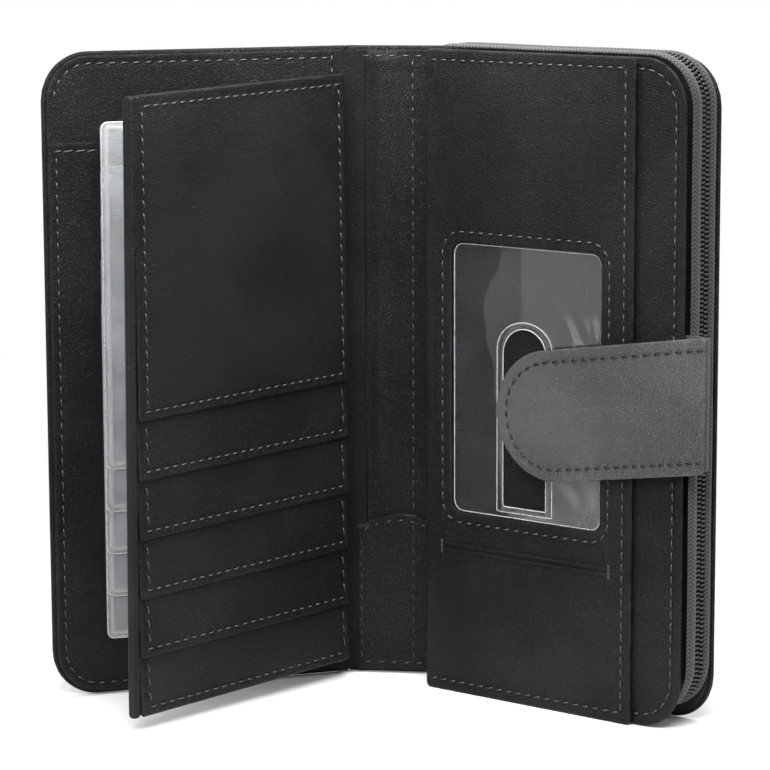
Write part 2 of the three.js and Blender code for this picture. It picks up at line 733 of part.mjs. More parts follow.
// Stud of the hidden snap, under the strap's round end: a disc with a rounded knob
function strapStud() {
  const top = -LEATHER / 2 - GAP - STRAP_LINING - GAP;
  const profile = [
    [0, 0], [STUD_RADIUS - 1, 0], [STUD_RADIUS - 1, -0.4], [2, -0.5],
    [1.9, -1], [1.3, -1.2], [0, -1.25],
  ].map(([radius, level]) => new THREE.Vector2(radius, level));
  const knob = new THREE.LatheGeometry(profile.reverse(), 24).rotateX(Math.PI / 2);
  return knob.translate(-STRAP_LENGTH + STRAP_WIDTH / 2, 0, top);
}

place("strap_root", strapRoot(), caseLeaf, leather());
place("strap_outer", strapOuter(), strapLeaf, finish(STRAP_LEATHER, 0.5));
place("strap_lining", strapLining(), strapLeaf, cloth());
place("strap_stud", strapStud(), strapLeaf, metal());

// Card flap: a back with its free edge turned over, then shingled pockets that open
// downwards, the top one largest and in front
const SLOT_DROP = SLOT_LEATHER + GAP;
const SLOT_SLOPE = SLOT_DROP / SLOT_STEP;
const FLAP_BACK = LEATHER;
const POCKET_BACK = FLAP_BACK / 2 + GAP;
const POCKET_FRONT = POCKET_BACK + SLOT_DROP + SLOT_SLOPE * SLOT_TUCK;

function flapBack() {
  const half = FLAP_BACK / 2;
  const shape = new THREE.Shape();
  shape.absarc(0, 0, half, -Math.PI / 2, Math.PI / 2);
  shape.lineTo(-FLAP_LENGTH + FLAP_RIM, half);
  shape.lineTo(-FLAP_LENGTH + FLAP_RIM, POCKET_FRONT + SLOT_LEATHER - 0.5);
  shape.lineTo(-FLAP_LENGTH + FLAP_RIM - 0.5, POCKET_FRONT + SLOT_LEATHER);
  shape.lineTo(-FLAP_LENGTH + 0.6, POCKET_FRONT + SLOT_LEATHER);
  shape.lineTo(-FLAP_LENGTH, POCKET_FRONT + SLOT_LEATHER - 0.6);
  shape.lineTo(-FLAP_LENGTH, -half + 0.5);
  shape.lineTo(-FLAP_LENGTH + 0.5, -half);
  return upright(shape, FLAP_BOTTOM, FLAP_TOP);
}

// One pocket layer: sloped so that its lower edge stands proud of the next layer
function pocketLayer(bottom, top, backAtBottom, backAtTop) {
  const shape = polygon([
    [bottom, backAtBottom],
    [top, backAtTop],
    [top, backAtTop + SLOT_LEATHER],
    [bottom, backAtBottom + SLOT_LEATHER],
  ]);
  return lengthways(shape, -FLAP_LENGTH + FLAP_RIM + GAP, -FLAP_START);
}

function flapTopPocket() {
  return pocketLayer(FIRST_SLOT, FLAP_TOP, POCKET_FRONT, POCKET_BACK);
}

function cardSlot(index) {
  const mouthAbove = FIRST_SLOT - (index - 1) * SLOT_STEP;
  const bottom = index === CARD_SLOTS ? FLAP_BOTTOM : mouthAbove - SLOT_STEP;
  return pocketLayer(bottom, mouthAbove + SLOT_TUCK, POCKET_FRONT, POCKET_BACK);
}

place("flap_back", flapBack(), flapLeaf, leather());
place("flap_top_pocket", flapTopPocket(), flapLeaf, leather());
for (let index = 1; index <= CARD_SLOTS; index += 1) {
  place(`card_slot_${index}`, cardSlot(index), flapLeaf, leather());
}

place("snap_socket", snapSocket(), coverLeaf, metal());

// Stand the wallet with the middle of its footprint on the origin
function settle() {
  const bounds = new THREE.Box3().setFromObject(wallet);
  const middle = bounds.getCenter(new THREE.Vector3());
  for (const piece of wallet.children) {
    piece.geometry.translate(-middle.x, -middle.y, -bounds.min.z);
  }
}

settle();

export default wallet;
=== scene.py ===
"""Zip-around checkbook wallet, standing open: leather, stitching, film, zip and studio."""
import json
import math

import bmesh
import bpy
import numpy as np
from bpy.props import FloatProperty, FloatVectorProperty, PointerProperty
from mathutils import Matrix, Vector


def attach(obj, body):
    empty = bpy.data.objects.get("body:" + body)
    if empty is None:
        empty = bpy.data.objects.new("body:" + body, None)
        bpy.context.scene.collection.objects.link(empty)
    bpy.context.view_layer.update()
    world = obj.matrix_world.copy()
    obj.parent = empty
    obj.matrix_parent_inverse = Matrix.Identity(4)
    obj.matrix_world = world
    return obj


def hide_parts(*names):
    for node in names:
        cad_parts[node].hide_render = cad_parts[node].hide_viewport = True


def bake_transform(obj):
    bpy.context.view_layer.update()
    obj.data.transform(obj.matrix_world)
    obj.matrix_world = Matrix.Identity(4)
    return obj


bl_info = {
    "name": "Checkbook Wallet",
    "version": (1, 0, 0),
    "blender": (4, 5, 0),
    "location": "3D Viewport > Sidebar > Wallet",
    "description": "Builds the leather, stitching, film and zip of an open checkbook wallet",
    "category": "Add Mesh",
}

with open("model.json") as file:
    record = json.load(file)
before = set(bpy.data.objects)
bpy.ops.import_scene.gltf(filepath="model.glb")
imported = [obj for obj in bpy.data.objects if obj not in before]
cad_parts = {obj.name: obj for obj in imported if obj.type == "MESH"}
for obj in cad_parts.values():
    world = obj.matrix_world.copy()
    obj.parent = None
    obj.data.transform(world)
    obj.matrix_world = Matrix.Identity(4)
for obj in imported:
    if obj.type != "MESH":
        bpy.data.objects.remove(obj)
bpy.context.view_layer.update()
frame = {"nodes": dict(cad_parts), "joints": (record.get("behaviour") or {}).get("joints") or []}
JOINTS = {joint["name"]: joint for joint in frame["joints"]}

MM = 0.001

# Turn of each leaf about the upright, in degrees, as the solids stand
CASE_TURN = -38.0
SPINE_TURN = -8.0
COVER_TURN = 19.0
FLAP_TURN = 46.0
STRAP_LEAN = 9.0

# Sizes shared by the leaves, in millimetres
HEIGHT = 190.0
CORNER = 14.0
SPINE_LENGTH = 31.0
COVER_LENGTH = 93.0
CASE_LENGTH = 93.0
INNER_LENGTH = 91.3
BILL_LENGTH = 75.6
FLAP_LENGTH = 88.6
FLAP_BOTTOM = 6.0
FLAP_TOP = 181.0
SLIP_TOP = 164.0

# Clear sleeves: each one a step lower and nearer the cover than the one before
SLEEVE_COUNT = 5
SLEEVE_TOP = 170.0
SLEEVE_LENGTH = 102.0
SLEEVE_STEP = 12.8
SLEEVE_LEVEL = 2.8
SLEEVE_GAP = 0.55

# Card slots: each one a step below the top pocket's mouth, and sloping back behind it
SLOT_COUNT = 5
FIRST_MOUTH = 90.5
SLOT_STEP = 16.9
SLOT_OVERLAP = 7.0
SLOT_LEVEL = 2.356
SLOT_RISE = 1.1 / SLOT_STEP

# Bill pocket, its window and slit, and the film's box and thumb slot.
# A box is left, right, bottom, top, and a fifth number is its corner radius.
BILL = (2.8, BILL_LENGTH, 0.0, HEIGHT, 1.5)
WINDOW = (12.1, 64.6, 54.5, 134.5, 3.5)
FILM = (7.3, 69.4, 49.7, 139.3)
BILL_LEVEL = 16.4
SLIT_LEFT = 8.8
SLIT_RIGHT = 68.0
SLIT_HEIGHT = 43.8
THUMB_X = 37.6
THUMB_RADIUS = 7.6
THUMB_ARCH = 103.1
THUMB_MIDDLE = 82.0
THUMB_FOOT = 58.0

# Leather wall between the case's back and its front, along the spine
GUSSET_LOW = 1.95
GUSSET_HIGH = 12.5
GUSSET_X = 3.2
GUSSET_THICKNESS = 0.8


class Leaf:
    """A flat leaf of the wallet: x along it, y up it and z towards the inside of the book."""

    def __init__(self, body, origin, turn, lean=0.0):
        angle, tilt = math.radians(turn), math.radians(lean)
        along = np.array([math.cos(angle), math.sin(angle), 0.0])
        up = np.array([0.0, 0.0, 1.0])
        inward = np.array([math.sin(angle), -math.cos(angle), 0.0])
        self.axes = np.array([
            math.cos(tilt) * along + math.sin(tilt) * up,
            math.cos(tilt) * up - math.sin(tilt) * along,
            inward,
        ])
        self.origin = np.array(origin, float)
        self.body = body

    def stand(self, x, y, z):
        """Points in the leaf's millimetres as points of the wallet, in metres."""
        local = np.stack(np.broadcast_arrays(x, y, z), axis=-1).astype(float)
        return self.origin + MM * local @ self.axes


class HangingLeaf(Leaf):
    """The card flap: it hangs from its hinge, so its free edge is drawn in a little
    towards the top and its corners drop at the free side."""

    def stand(self, x, y, z):
        """Points of the flap: the share drawn in grows with the height, and the drop is
        linear in the distance from the hinge at the top and at the bottom."""
        x, y, z = np.broadcast_arrays(x, y, z)
        rise = (y - FLAP_BOTTOM) / (FLAP_TOP - FLAP_BOTTOM)
        out = -x / FLAP_LENGTH
        drop = rise * (1.2 - 2.25 * out) - (1 - rise) * 1.6 * out
        return super().stand(x * (0.981 - 0.018 * rise), y + drop, z)


def foot(joint):
    """The point on the floor below a fold line."""
    x, y, _ = JOINTS[joint]["pos_m"]
    return x, y, 0.0


SPINE = Leaf("spine", foot("cover_fold"), SPINE_TURN)
COVER = Leaf("cover", foot("cover_fold"), COVER_TURN)
CASE = Leaf("case", foot("spine_fold"), CASE_TURN)
FLAP = HangingLeaf("flap", foot("flap_fold"), FLAP_TURN)


def look():
    """The wallet's colours and sizes, as the sidebar shows them."""
    return bpy.context.scene.wallet_look


def stitch_pitch():
    """Distance from one stitch to the next, in millimetres."""
    return round(look().stitch_pitch / MM, 3)


def smooth_step(value):
    """0 below 0 and 1 above 1, with an even curve between them."""
    t = np.clip(value, 0.0, 1.0)
    return t * t * (3.0 - 2.0 * t)


def undulation(x, y, phase, size=34.0):
    """Soft waves of hand-made leather: three crossed sines, from -1 to 1."""
    return (
        np.sin(x / size * 2.1 + phase)
        + np.sin(y / size * 1.7 + 1.9 * phase)
        + np.sin((x + 1.4 * y) / size + 2.7 * phase)
    ) / 3.0


RIM_STEPS = (0.0, 0.1, 0.28, 0.55, 0.9, 1.4, 2.0, 2.5, 2.9, 3.3, 3.7, 4.2, 4.9, 6.0, 7.6)


def spread(length, coarse=3.2):
    """Distances along a side, close together near both ends and coarse between them."""
    near = np.array([step for step in RIM_STEPS if step < 0.42 * length])
    room = length - 2 * near[-1]
    count = max(2, int(round(room / coarse)) + 1)
    middle = near[-1] + np.linspace(0, room, count)
    return np.concatenate([near[:-1], middle, (length - near[:-1])[::-1]])


def upright_fold(x, y):
    """Where a strap point goes so that its fold line stands upright on the case: the
    leaning strap is sheared, most at the fold and not at all beyond its middle."""
    lean = math.tan(math.radians(STRAP_LEAN))
    return x + lean * y * smooth_step((x + 36.0) / 36.0)


class FoldedLeaf(Leaf):
    """The closing strap, whose fold line is upright although the strap leans."""

    def stand(self, x, y, z):
        """Points of the strap, with its own x turned so that its fold line is upright."""
        x, y, z = np.broadcast_arrays(x, y, z)
        return super().stand(upright_fold(x, y), y, z)


STRAP = FoldedLeaf("strap", JOINTS["strap_fold"]["pos_m"], CASE_TURN, STRAP_LEAN)


class Panel:
    """A sewn sheet in a leaf, with an outline, a level for its underside and a thickness.

    The rim is rolled: both faces leave the outline on a quarter circle. A furrow lies
    along the seam and the face swells inside it. Corner radii go bottom left, bottom
    right, top right, top left. Level is a number or a function of the height.
    """

    def __init__(self, leaf, left, right, bottom, top, radii=(0, 0, 0, 0), level=0.0,
                 thickness=1.0, roll=0.8, seam=3.4, furrow=0.24, swell=0.25, wave=0.08,
                 phase=0.0):
        self.leaf = leaf
        self.left, self.right, self.bottom, self.top = left, right, bottom, top
        self.radii = radii
        self.level = level if callable(level) else (lambda y: level + 0.0 * y)
        self.thickness, self.roll = thickness, roll
        self.seam, self.furrow, self.swell = seam, furrow, swell
        self.wave, self.phase = wave, phase

    def rim(self, x, y):
        """Distance in from the outline: to the box, or to a corner's circle near it."""
        middle_x = (self.left + self.right) / 2
        middle_y = (self.bottom + self.top) / 2
        low_left, low_right, high_right, high_left = self.radii
        radius = np.where(
            x < middle_x,
            np.where(y < middle_y, low_left, high_left),
            np.where(y < middle_y, low_right, high_right),
        )
        over_x = np.abs(x - middle_x) - (self.right - self.left) / 2 + radius
        over_y = np.abs(y - middle_y) - (self.top - self.bottom) / 2 + radius
        beyond = np.hypot(np.maximum(over_x, 0), np.maximum(over_y, 0))
        return radius - beyond - np.minimum(np.maximum(over_x, over_y), 0)

    def edge(self, x, y):
        """1 at the rim, fading over a millimetre, for wear and a painted rim highlight."""
        return np.exp(-np.maximum(self.rim(x, y), 0) / 0.7)

    def rolled(self, distance):
        """Share of the half thickness at a distance from the rim, on a quarter circle."""
        return np.sqrt(np.clip(1 - (1 - np.clip(distance / self.roll, 0, 1)) ** 2, 0, 1))

    def front(self, x, y):
        """Level of the inward face."""
        distance = self.rim(x, y)
        half = self.thickness / 2
        furrow = self.furrow * np.exp(-(((distance - self.seam) / 0.7) ** 2))
        inside = smooth_step((distance - self.seam - 0.4) / 9.0)
        swell = inside * (self.swell + self.wave * undulation(x, y, self.phase))
        return self.level(y) + half + half * self.rolled(distance) - furrow + swell

    def back(self, x, y):
        """Level of the outward face."""
        half = self.thickness / 2
        return self.level(y) + half - half * self.rolled(self.rim(x, y))

    def grid(self):
        """Rows up the panel; each row runs between the two sides of the outline."""
        y = self.bottom + spread(self.top - self.bottom)
        low = y - self.bottom
        high = self.top - y

        def tuck(radius, reach):
            """How far a round corner draws the side in at a distance from the end."""
            inner = np.clip(radius - reach, 0, None)
            return radius - np.sqrt(np.clip(radius ** 2 - inner ** 2, 0, None))

        low_left, low_right, high_right, high_left = self.radii
        left = self.left + tuck(low_left, low) + tuck(high_left, high)
        right = self.right - tuck(low_right, low) - tuck(high_right, high)
        across = spread(self.right - self.left)
        share = across / across[-1]
        x = left[:, None] + share[None, :] * (right - left)[:, None]
        return x, np.broadcast_to(y[:, None], x.shape)


def quads(number):
    """Faces between neighbouring points of a numbered grid."""
    corners = [number[:-1, :-1], number[:-1, 1:], number[1:, 1:], number[1:, :-1]]
    return np.stack(corners, axis=-1).reshape(-1, 4)


def closed_sheet(front, back):
    """Two grids that share their outermost points, so the sheet has one closed skin."""
    rows, columns = front.shape[:2]
    number = np.arange(rows * columns).reshape(rows, columns)
    inside = np.zeros((rows, columns), bool)
    inside[1:-1, 1:-1] = True
    behind = number.copy()
    behind[inside] = rows * columns + np.arange(inside.sum())
    points = np.concatenate([front.reshape(-1, 3), back[inside]])
    faces = np.concatenate([quads(number), quads(behind)[:, ::-1]])
    return points, faces


def closed_ring(front, back):
    """As closed_sheet, for grids that run round a hole: rows go round, columns outwards."""
    rows, columns = front.shape[:2]
    number = np.arange(rows * columns).reshape(rows, columns)
    inside = np.zeros((rows, columns), bool)
    inside[:, 1:-1] = True
    behind = number.copy()
    behind[inside] = rows * columns + np.arange(inside.sum())
    points = np.concatenate([front.reshape(-1, 3), back[inside]])
    wrap = np.concatenate([number, number[:1]])
    wrap_behind = np.concatenate([behind, behind[:1]])
    faces = np.concatenate([quads(wrap), quads(wrap_behind)[:, ::-1]])
    return points, faces


def swept(rings):
    """Skin over closed rings of points, rows along the sweep, with both ends filled."""
    rows, columns = rings.shape[:2]
    number = np.arange(rows * columns).reshape(rows, columns)
    wrap = np.concatenate([number, number[:, :1]], axis=1)
    caps = [number[0, ::-1].tolist(), number[-1].tolist()]
    return rings.reshape(-1, 3), quads(wrap).tolist() + caps


def make_piece(name, points, faces, material, body=None, replaced=(), smooth=True,
               edge=None):
    """A mesh object at the origin, facing outwards, riding on its body."""
    mesh = bpy.data.meshes.new(name)
    faces = faces if isinstance(faces, list) else faces.tolist()
    mesh.from_pydata(points.tolist(), [], faces)
    shell = bmesh.new()
    shell.from_mesh(mesh)
    bmesh.ops.recalc_face_normals(shell, faces=shell.faces)
    shell.to_mesh(mesh)
    shell.free()
    if edge is not None:
        attribute = mesh.attributes.new("edge", "FLOAT", "POINT")
        attribute.data.foreach_set("value", edge.astype(np.float32))
    mesh.polygons.foreach_set("use_smooth", [smooth] * len(mesh.polygons))
    mesh.materials.append(material)
    piece = bpy.data.objects.new(name, mesh)
    bpy.context.scene.collection.objects.link(piece)
    if replaced:
        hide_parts(*replaced)
    if body:
        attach(piece, body)
    return piece


def panel_piece(name, panel, material, replaced=()):
    """The closed skin of a panel, with its distance from the rim kept for wear and a painted rim
    highlight.
    """
    x, y = panel.grid()
    front = panel.leaf.stand(x, y, panel.front(x, y))
    back = panel.leaf.stand(x, y, panel.back(x, y))
    points, faces = closed_sheet(front, back)
    near = panel.edge(x, y)
    near = np.concatenate([near.ravel(), near[1:-1, 1:-1].ravel()])
    return make_piece(name, points, faces, material, panel.leaf.body, replaced,
                      edge=near)


def corner_arc(x, y, radius, start, steps=10):
    """A quarter circle about (x, y), anticlockwise from the start angle in degrees."""
    angle = np.radians(start + np.linspace(0, 90, steps))
    return np.stack([x + radius * np.cos(angle), y + radius * np.sin(angle)], axis=-1)


def outline(left, right, bottom, top, radii, inset=0.0):
    """Closed outline, anticlockwise from the bottom right corner's arc."""
    l, r, b, t = left + inset, right - inset, bottom + inset, top - inset
    low_left, low_right, high_right, high_left = (max(v - inset, 0.01) for v in radii)
    return np.concatenate([
        corner_arc(r - low_right, b + low_right, low_right, 270),
        corner_arc(r - high_right, t - high_right, high_right, 0),
        corner_arc(l + high_left, t - high_left, high_left, 90),
        corner_arc(l + low_left, b + low_left, low_left, 180),
    ])


def seam_line(panel, inset=None, open_side=None):
    """The panel's outline set in by its seam, closed or open at its left or right."""
    inset = panel.seam if inset is None else inset
    loop = outline(panel.left, panel.right, panel.bottom, panel.top, panel.radii, inset)
    if open_side == "right":
        end = np.array([[panel.right, panel.top - inset]])
        start = np.array([[panel.right, panel.bottom + inset]])
        return np.concatenate([end, loop[20:], start])
    if open_side == "left":
        start = np.array([[panel.left, panel.bottom + inset]])
        end = np.array([[panel.left, panel.top - inset]])
        return np.concatenate([start, loop[:20], end])
    return np.concatenate([loop, loop[:1]])


def along_line(line, distances):
    """Points and directions at given distances along a line of points."""
    legs = np.linalg.norm(np.diff(line, axis=0), axis=1)
    reach = np.concatenate([[0], np.cumsum(legs)])
    point = np.stack([np.interp(distances, reach, line[:, k]) for k in (0, 1)], axis=-1)
    ahead = np.stack(
        [np.interp(distances + 0.3, reach, line[:, k]) for k in (0, 1)], axis=-1)
    behind = np.stack(
        [np.interp(distances - 0.3, reach, line[:, k]) for k in (0, 1)], axis=-1)
    direction = ahead - behind
    direction /= np.maximum(np.linalg.norm(direction, axis=1, keepdims=True), 1e-9)
    return point, direction


def line_length(line):
    """Length of a line through its points."""
    return float(np.linalg.norm(np.diff(line, axis=0), axis=1).sum())


def thread_shape():
    """One stitch: a short round thread that rises in its middle and dives at both ends.

    Along it t runs from -1 to 1, its radius is the fourth-power oval of t and its
    middle is lifted by 1 - t squared.
    """
    t = np.array([-1.0, -0.82, -0.4, 0.0, 0.4, 0.82, 1.0])
    around = np.linspace(0, 2 * np.pi, 7)[:-1]
    girth = np.maximum(1 - t ** 4, 0.02) ** 0.5
    ring_side = girth[:, None] * np.cos(around)[None, :]
    ring_lift = girth[:, None] * np.sin(around)[None, :]
    along = np.broadcast_to(t[:, None], ring_side.shape)
    arch = np.broadcast_to((1 - t ** 2)[:, None], ring_side.shape)
    return along, ring_side, ring_lift, arch


def stitch_cloud(lines, pitch, slant=6.0, share=0.72, radius=0.3):
    """Stitches along lines in a leaf: arrays of x, y and lift, and their faces.

    Each line is (points, height function). A stitch is the thread shape laid along the
    line, turned a little across it.
    """
    along, side, lift, arch = thread_shape()
    rows, columns = along.shape
    number = np.arange(rows * columns).reshape(rows, columns)
    wrap = np.concatenate([number, number[:, :1]], axis=1)
    faces_once = quads(wrap)
    half = pitch * share / 2
    clouds, faces, total = [], [], 0
    for line, height in lines:
        count = max(1, int(line_length(line) / pitch))
        distances = (np.arange(count) + 0.5) * line_length(line) / count
        point, direction = along_line(line, distances)
        angle = math.radians(slant)
        turned = np.stack([
            direction[:, 0] * math.cos(angle) - direction[:, 1] * math.sin(angle),
            direction[:, 0] * math.sin(angle) + direction[:, 1] * math.cos(angle),
        ], axis=-1)
        across = np.stack([-turned[:, 1], turned[:, 0]], axis=-1)
        x = (point[:, None, None, 0] + half * along * turned[:, None, None, 0]
             + radius * side * across[:, None, None, 0])
        y = (point[:, None, None, 1] + half * along * turned[:, None, None, 1]
             + radius * side * across[:, None, None, 1])
        base = height(point[:, 0], point[:, 1])[:, None, None]
        z = base + radius * lift + 0.4 * arch - 0.14
        clouds.append(np.stack([x, y, z], axis=-1).reshape(-1, 3))
        for k in range(count):
            faces.append(faces_once + total + k * rows * columns)
        total += count * rows * columns
    return np.concatenate(clouds), np.concatenate(faces)


def stitching(name, leaf, lines, pitch, material=None, **shape):
    """One piece with all the stitches of a panel."""
    cloud, faces = stitch_cloud(lines, pitch, **shape)
    points = leaf.stand(cloud[:, 0], cloud[:, 1], cloud[:, 2])
    mesh = bpy.data.meshes.new(name)
    mesh.from_pydata(points.tolist(), [], faces.tolist())
    mesh.polygons.foreach_set("use_smooth", [True] * len(mesh.polygons))
    mesh.materials.append(material or thread_material())
    piece = bpy.data.objects.new(name, mesh)
    bpy.context.scene.collection.objects.link(piece)
    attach(piece, leaf.body)
    return piece


class Tree:
    """Short ways to fill a node tree."""

    def __init__(self, tree):
        self.tree = tree

    def node(self, kind, **settings):
        node = self.tree.nodes.new(kind)
        for key, value in settings.items():
            if key in node.inputs:
                node.inputs[key].default_value = value
            else:
                setattr(node, key, value)
        return node

    def link(self, start, end):
        self.tree.links.new(start, end)

    def sum(self, operation, first, second, third=0.5):
        """A math node; each term is a socket or a number."""
        node = self.tree.nodes.new("ShaderNodeMath")
        node.operation = operation
        for slot, term in zip(node.inputs, (first, second, third)):
            if isinstance(term, (int, float)):
                slot.default_value = term
            else:
                self.link(term, slot)
        return node.outputs[0]

    def ramp(self, value, low, high, invert=False):
        """A smooth 0 to 1 between low and high."""
        node = self.tree.nodes.new("ShaderNodeMapRange")
        node.interpolation_type = "SMOOTHSTEP"
        node.inputs["From Min"].default_value = low
        node.inputs["From Max"].default_value = high
        node.inputs["To Min"].default_value = 1.0 if invert else 0.0
        node.inputs["To Max"].default_value = 0.0 if invert else 1.0
        self.link(value, node.inputs["Value"])
        return node.outputs["Result"]

    def mix(self, factor, first, second):
        """A colour between two; each is a socket or a colour."""
        node = self.tree.nodes.new("ShaderNodeMix")
        node.data_type = "RGBA"
        for slot, term in zip((node.inputs[0], node.inputs[6], node.inputs[7]),
                              (factor, first, second)):
            if isinstance(term, (int, float)):
                slot.default_value = term
            elif isinstance(term, tuple):
                slot.default_value = term
            else:
                self.link(term, slot)
        return node.outputs[2]


def effect_group(name, inputs, outputs):
    """A new shader node group with named sockets, or None where it is built already."""
    if name in bpy.data.node_groups:
        return None
    group = bpy.data.node_groups.new(name, "ShaderNodeTree")
    for title, kind, value in inputs:
        socket = group.interface.new_socket(title, in_out="INPUT", socket_type=kind)
        if value is not None:
            socket.default_value = value
    for title, kind in outputs:
        group.interface.new_socket(title, in_out="OUTPUT", socket_type=kind)
    return group


def leather_grain():
    """Pebbled grain: cells with creases between them, pores, soft patches and pale flecks."""
    group = effect_group(
        "Leather Grain",
        [("Place", "NodeSocketVector", None), ("Cells", "NodeSocketFloat", 1000.0),
         ("Patches", "NodeSocketFloat", 30.0)],
        [("Height", "NodeSocketFloat"), ("Crease", "NodeSocketFloat"),
         ("Patch", "NodeSocketFloat"), ("Fleck", "NodeSocketFloat")])
    if group is None:
        return bpy.data.node_groups["Leather Grain"]
    t = Tree(group)
    place = t.node("NodeGroupInput")
    result = t.node("NodeGroupOutput")
    bend = t.node("ShaderNodeTexNoise", Detail=2.0)
    t.link(place.outputs["Place"], bend.inputs["Vector"])
    t.link(t.sum("MULTIPLY", place.outputs["Cells"], 0.6), bend.inputs["Scale"])
    wander = t.node("ShaderNodeVectorMath", operation="SCALE", Scale=0.0006)
    t.link(bend.outputs["Color"], wander.inputs[0])
    bent = t.node("ShaderNodeVectorMath", operation="ADD")
    t.link(place.outputs["Place"], bent.inputs[0])
    t.link(wander.outputs[0], bent.inputs[1])
    cells = t.node("ShaderNodeTexVoronoi", feature="DISTANCE_TO_EDGE")
    t.link(bent.outputs[0], cells.inputs["Vector"])
    t.link(place.outputs["Cells"], cells.inputs["Scale"])
    pebble = t.ramp(cells.outputs["Distance"], 0.0, 0.22)
    pores = t.node("ShaderNodeTexNoise", Detail=3.0)
    t.link(place.outputs["Place"], pores.inputs["Vector"])
    t.link(t.sum("MULTIPLY", place.outputs["Cells"], 2.3), pores.inputs["Scale"])
    height = t.sum("ADD", pebble, t.sum("MULTIPLY", pores.outputs["Fac"], 0.25))
    t.link(height, result.inputs["Height"])
    t.link(t.ramp(cells.outputs["Distance"], 0.0, 0.16, True), result.inputs["Crease"])
    patches = t.node("ShaderNodeTexNoise", Detail=3.0)
    t.link(place.outputs["Place"], patches.inputs["Vector"])
    t.link(place.outputs["Patches"], patches.inputs["Scale"])
    t.link(t.ramp(patches.outputs["Fac"], 0.35, 0.65), result.inputs["Patch"])
    specks = t.node("ShaderNodeTexVoronoi", Scale=520.0)
    t.link(place.outputs["Place"], specks.inputs["Vector"])
    chosen = t.node("ShaderNodeSeparateColor")
    t.link(specks.outputs["Color"], chosen.inputs["Color"])
    near = t.ramp(specks.outputs["Distance"], 0.05, 0.12, True)
    rare = t.ramp(chosen.outputs["Red"], 0.95, 0.97)
    t.link(t.sum("MULTIPLY", near, rare), result.inputs["Fleck"])
    return group


def edge_wear_and_highlight():
    """A broken mask along the rim, from the edge attribute of the sewn panels, for wear and, on
    the rolled edges, a painted highlight.
    """
    group = effect_group(
        "Edge Wear And Highlight",
        [("Place", "NodeSocketVector", None), ("Edge", "NodeSocketFloat", 0.0)],
        [("Mask", "NodeSocketFloat")])
    if group is None:
        return bpy.data.node_groups["Edge Wear And Highlight"]
    t = Tree(group)
    place = t.node("NodeGroupInput")
    result = t.node("NodeGroupOutput")
    rubs = t.node("ShaderNodeTexNoise", Scale=260.0, Detail=4.0)
    t.link(place.outputs["Place"], rubs.inputs["Vector"])
    rubbed = t.ramp(rubs.outputs["Fac"], 0.42, 0.66)
    t.link(t.sum("MULTIPLY", rubbed, t.ramp(place.outputs["Edge"], 0.25, 0.95)),
           result.inputs["Mask"])
    return group


def dust():
    """Sparse lint: tiny specks of dust."""
    group = effect_group(
        "Dust", [("Place", "NodeSocketVector", None)], [("Mask", "NodeSocketFloat")])
    if group is None:
        return bpy.data.node_groups["Dust"]
    t = Tree(group)
    place = t.node("NodeGroupInput")
    result = t.node("NodeGroupOutput")
    lint = t.node("ShaderNodeTexVoronoi", Scale=210.0)
    t.link(place.outputs["Place"], lint.inputs["Vector"])
    chosen = t.node("ShaderNodeSeparateColor")
    t.link(lint.outputs["Color"], chosen.inputs["Color"])
    near = t.ramp(lint.outputs["Distance"], 0.03, 0.09, True)
    t.link(t.sum("MULTIPLY", near, t.ramp(chosen.outputs["Green"], 0.9, 0.92)),
           result.inputs["Mask"])
    return group


def cloth_weave():
    """Twill or herringbone: slanted yarns that change direction in bands."""
    group = effect_group(
        "Cloth Weave",
        [("Place", "NodeSocketVector", None), ("Yarns", "NodeSocketFloat", 1600.0),
         ("Bands", "NodeSocketFloat", 0.5)],
        [("Height", "NodeSocketFloat")])
    if group is None:
        return bpy.data.node_groups["Cloth Weave"]
    t = Tree(group)
    place = t.node("NodeGroupInput")
    result = t.node("NodeGroupOutput")
    parts = t.node("ShaderNodeSeparateXYZ")
    t.link(place.outputs["Place"], parts.inputs[0])
    across = t.sum("MULTIPLY", parts.outputs["Y"], place.outputs["Bands"])
    folded = t.sum("PINGPONG", across, 1.0)
    slant = t.sum("DIVIDE", folded, place.outputs["Bands"])
    run = t.sum("ADD", parts.outputs["X"], slant)
    yarns = t.sum("SINE", t.sum("MULTIPLY", run, place.outputs["Yarns"]), 0.0)
    t.link(t.sum("MULTIPLY_ADD", yarns, 0.5, 0.5), result.inputs["Height"])
    return group


def use_group(t, group, **inputs):
    node = t.tree.nodes.new("ShaderNodeGroup")
    node.node_tree = group
    for name, value in inputs.items():
        if isinstance(value, (int, float)):
            node.inputs[name].default_value = value
        else:
            t.link(value, node.inputs[name])
    return node


def new_material(name, **shader_values):
    """A material with a Principled shader whose plain values are set on its sockets."""
    if name in bpy.data.materials:
        return bpy.data.materials[name], None, None
    material = bpy.data.materials.new(name)
    material.use_nodes = True
    t = Tree(material.node_tree)
    shader = next(n for n in material.node_tree.nodes if n.type == "BSDF_PRINCIPLED")
    for key, value in shader_values.items():
        shader.inputs[key.replace("_", " ")].default_value = value
    return material, t, shader


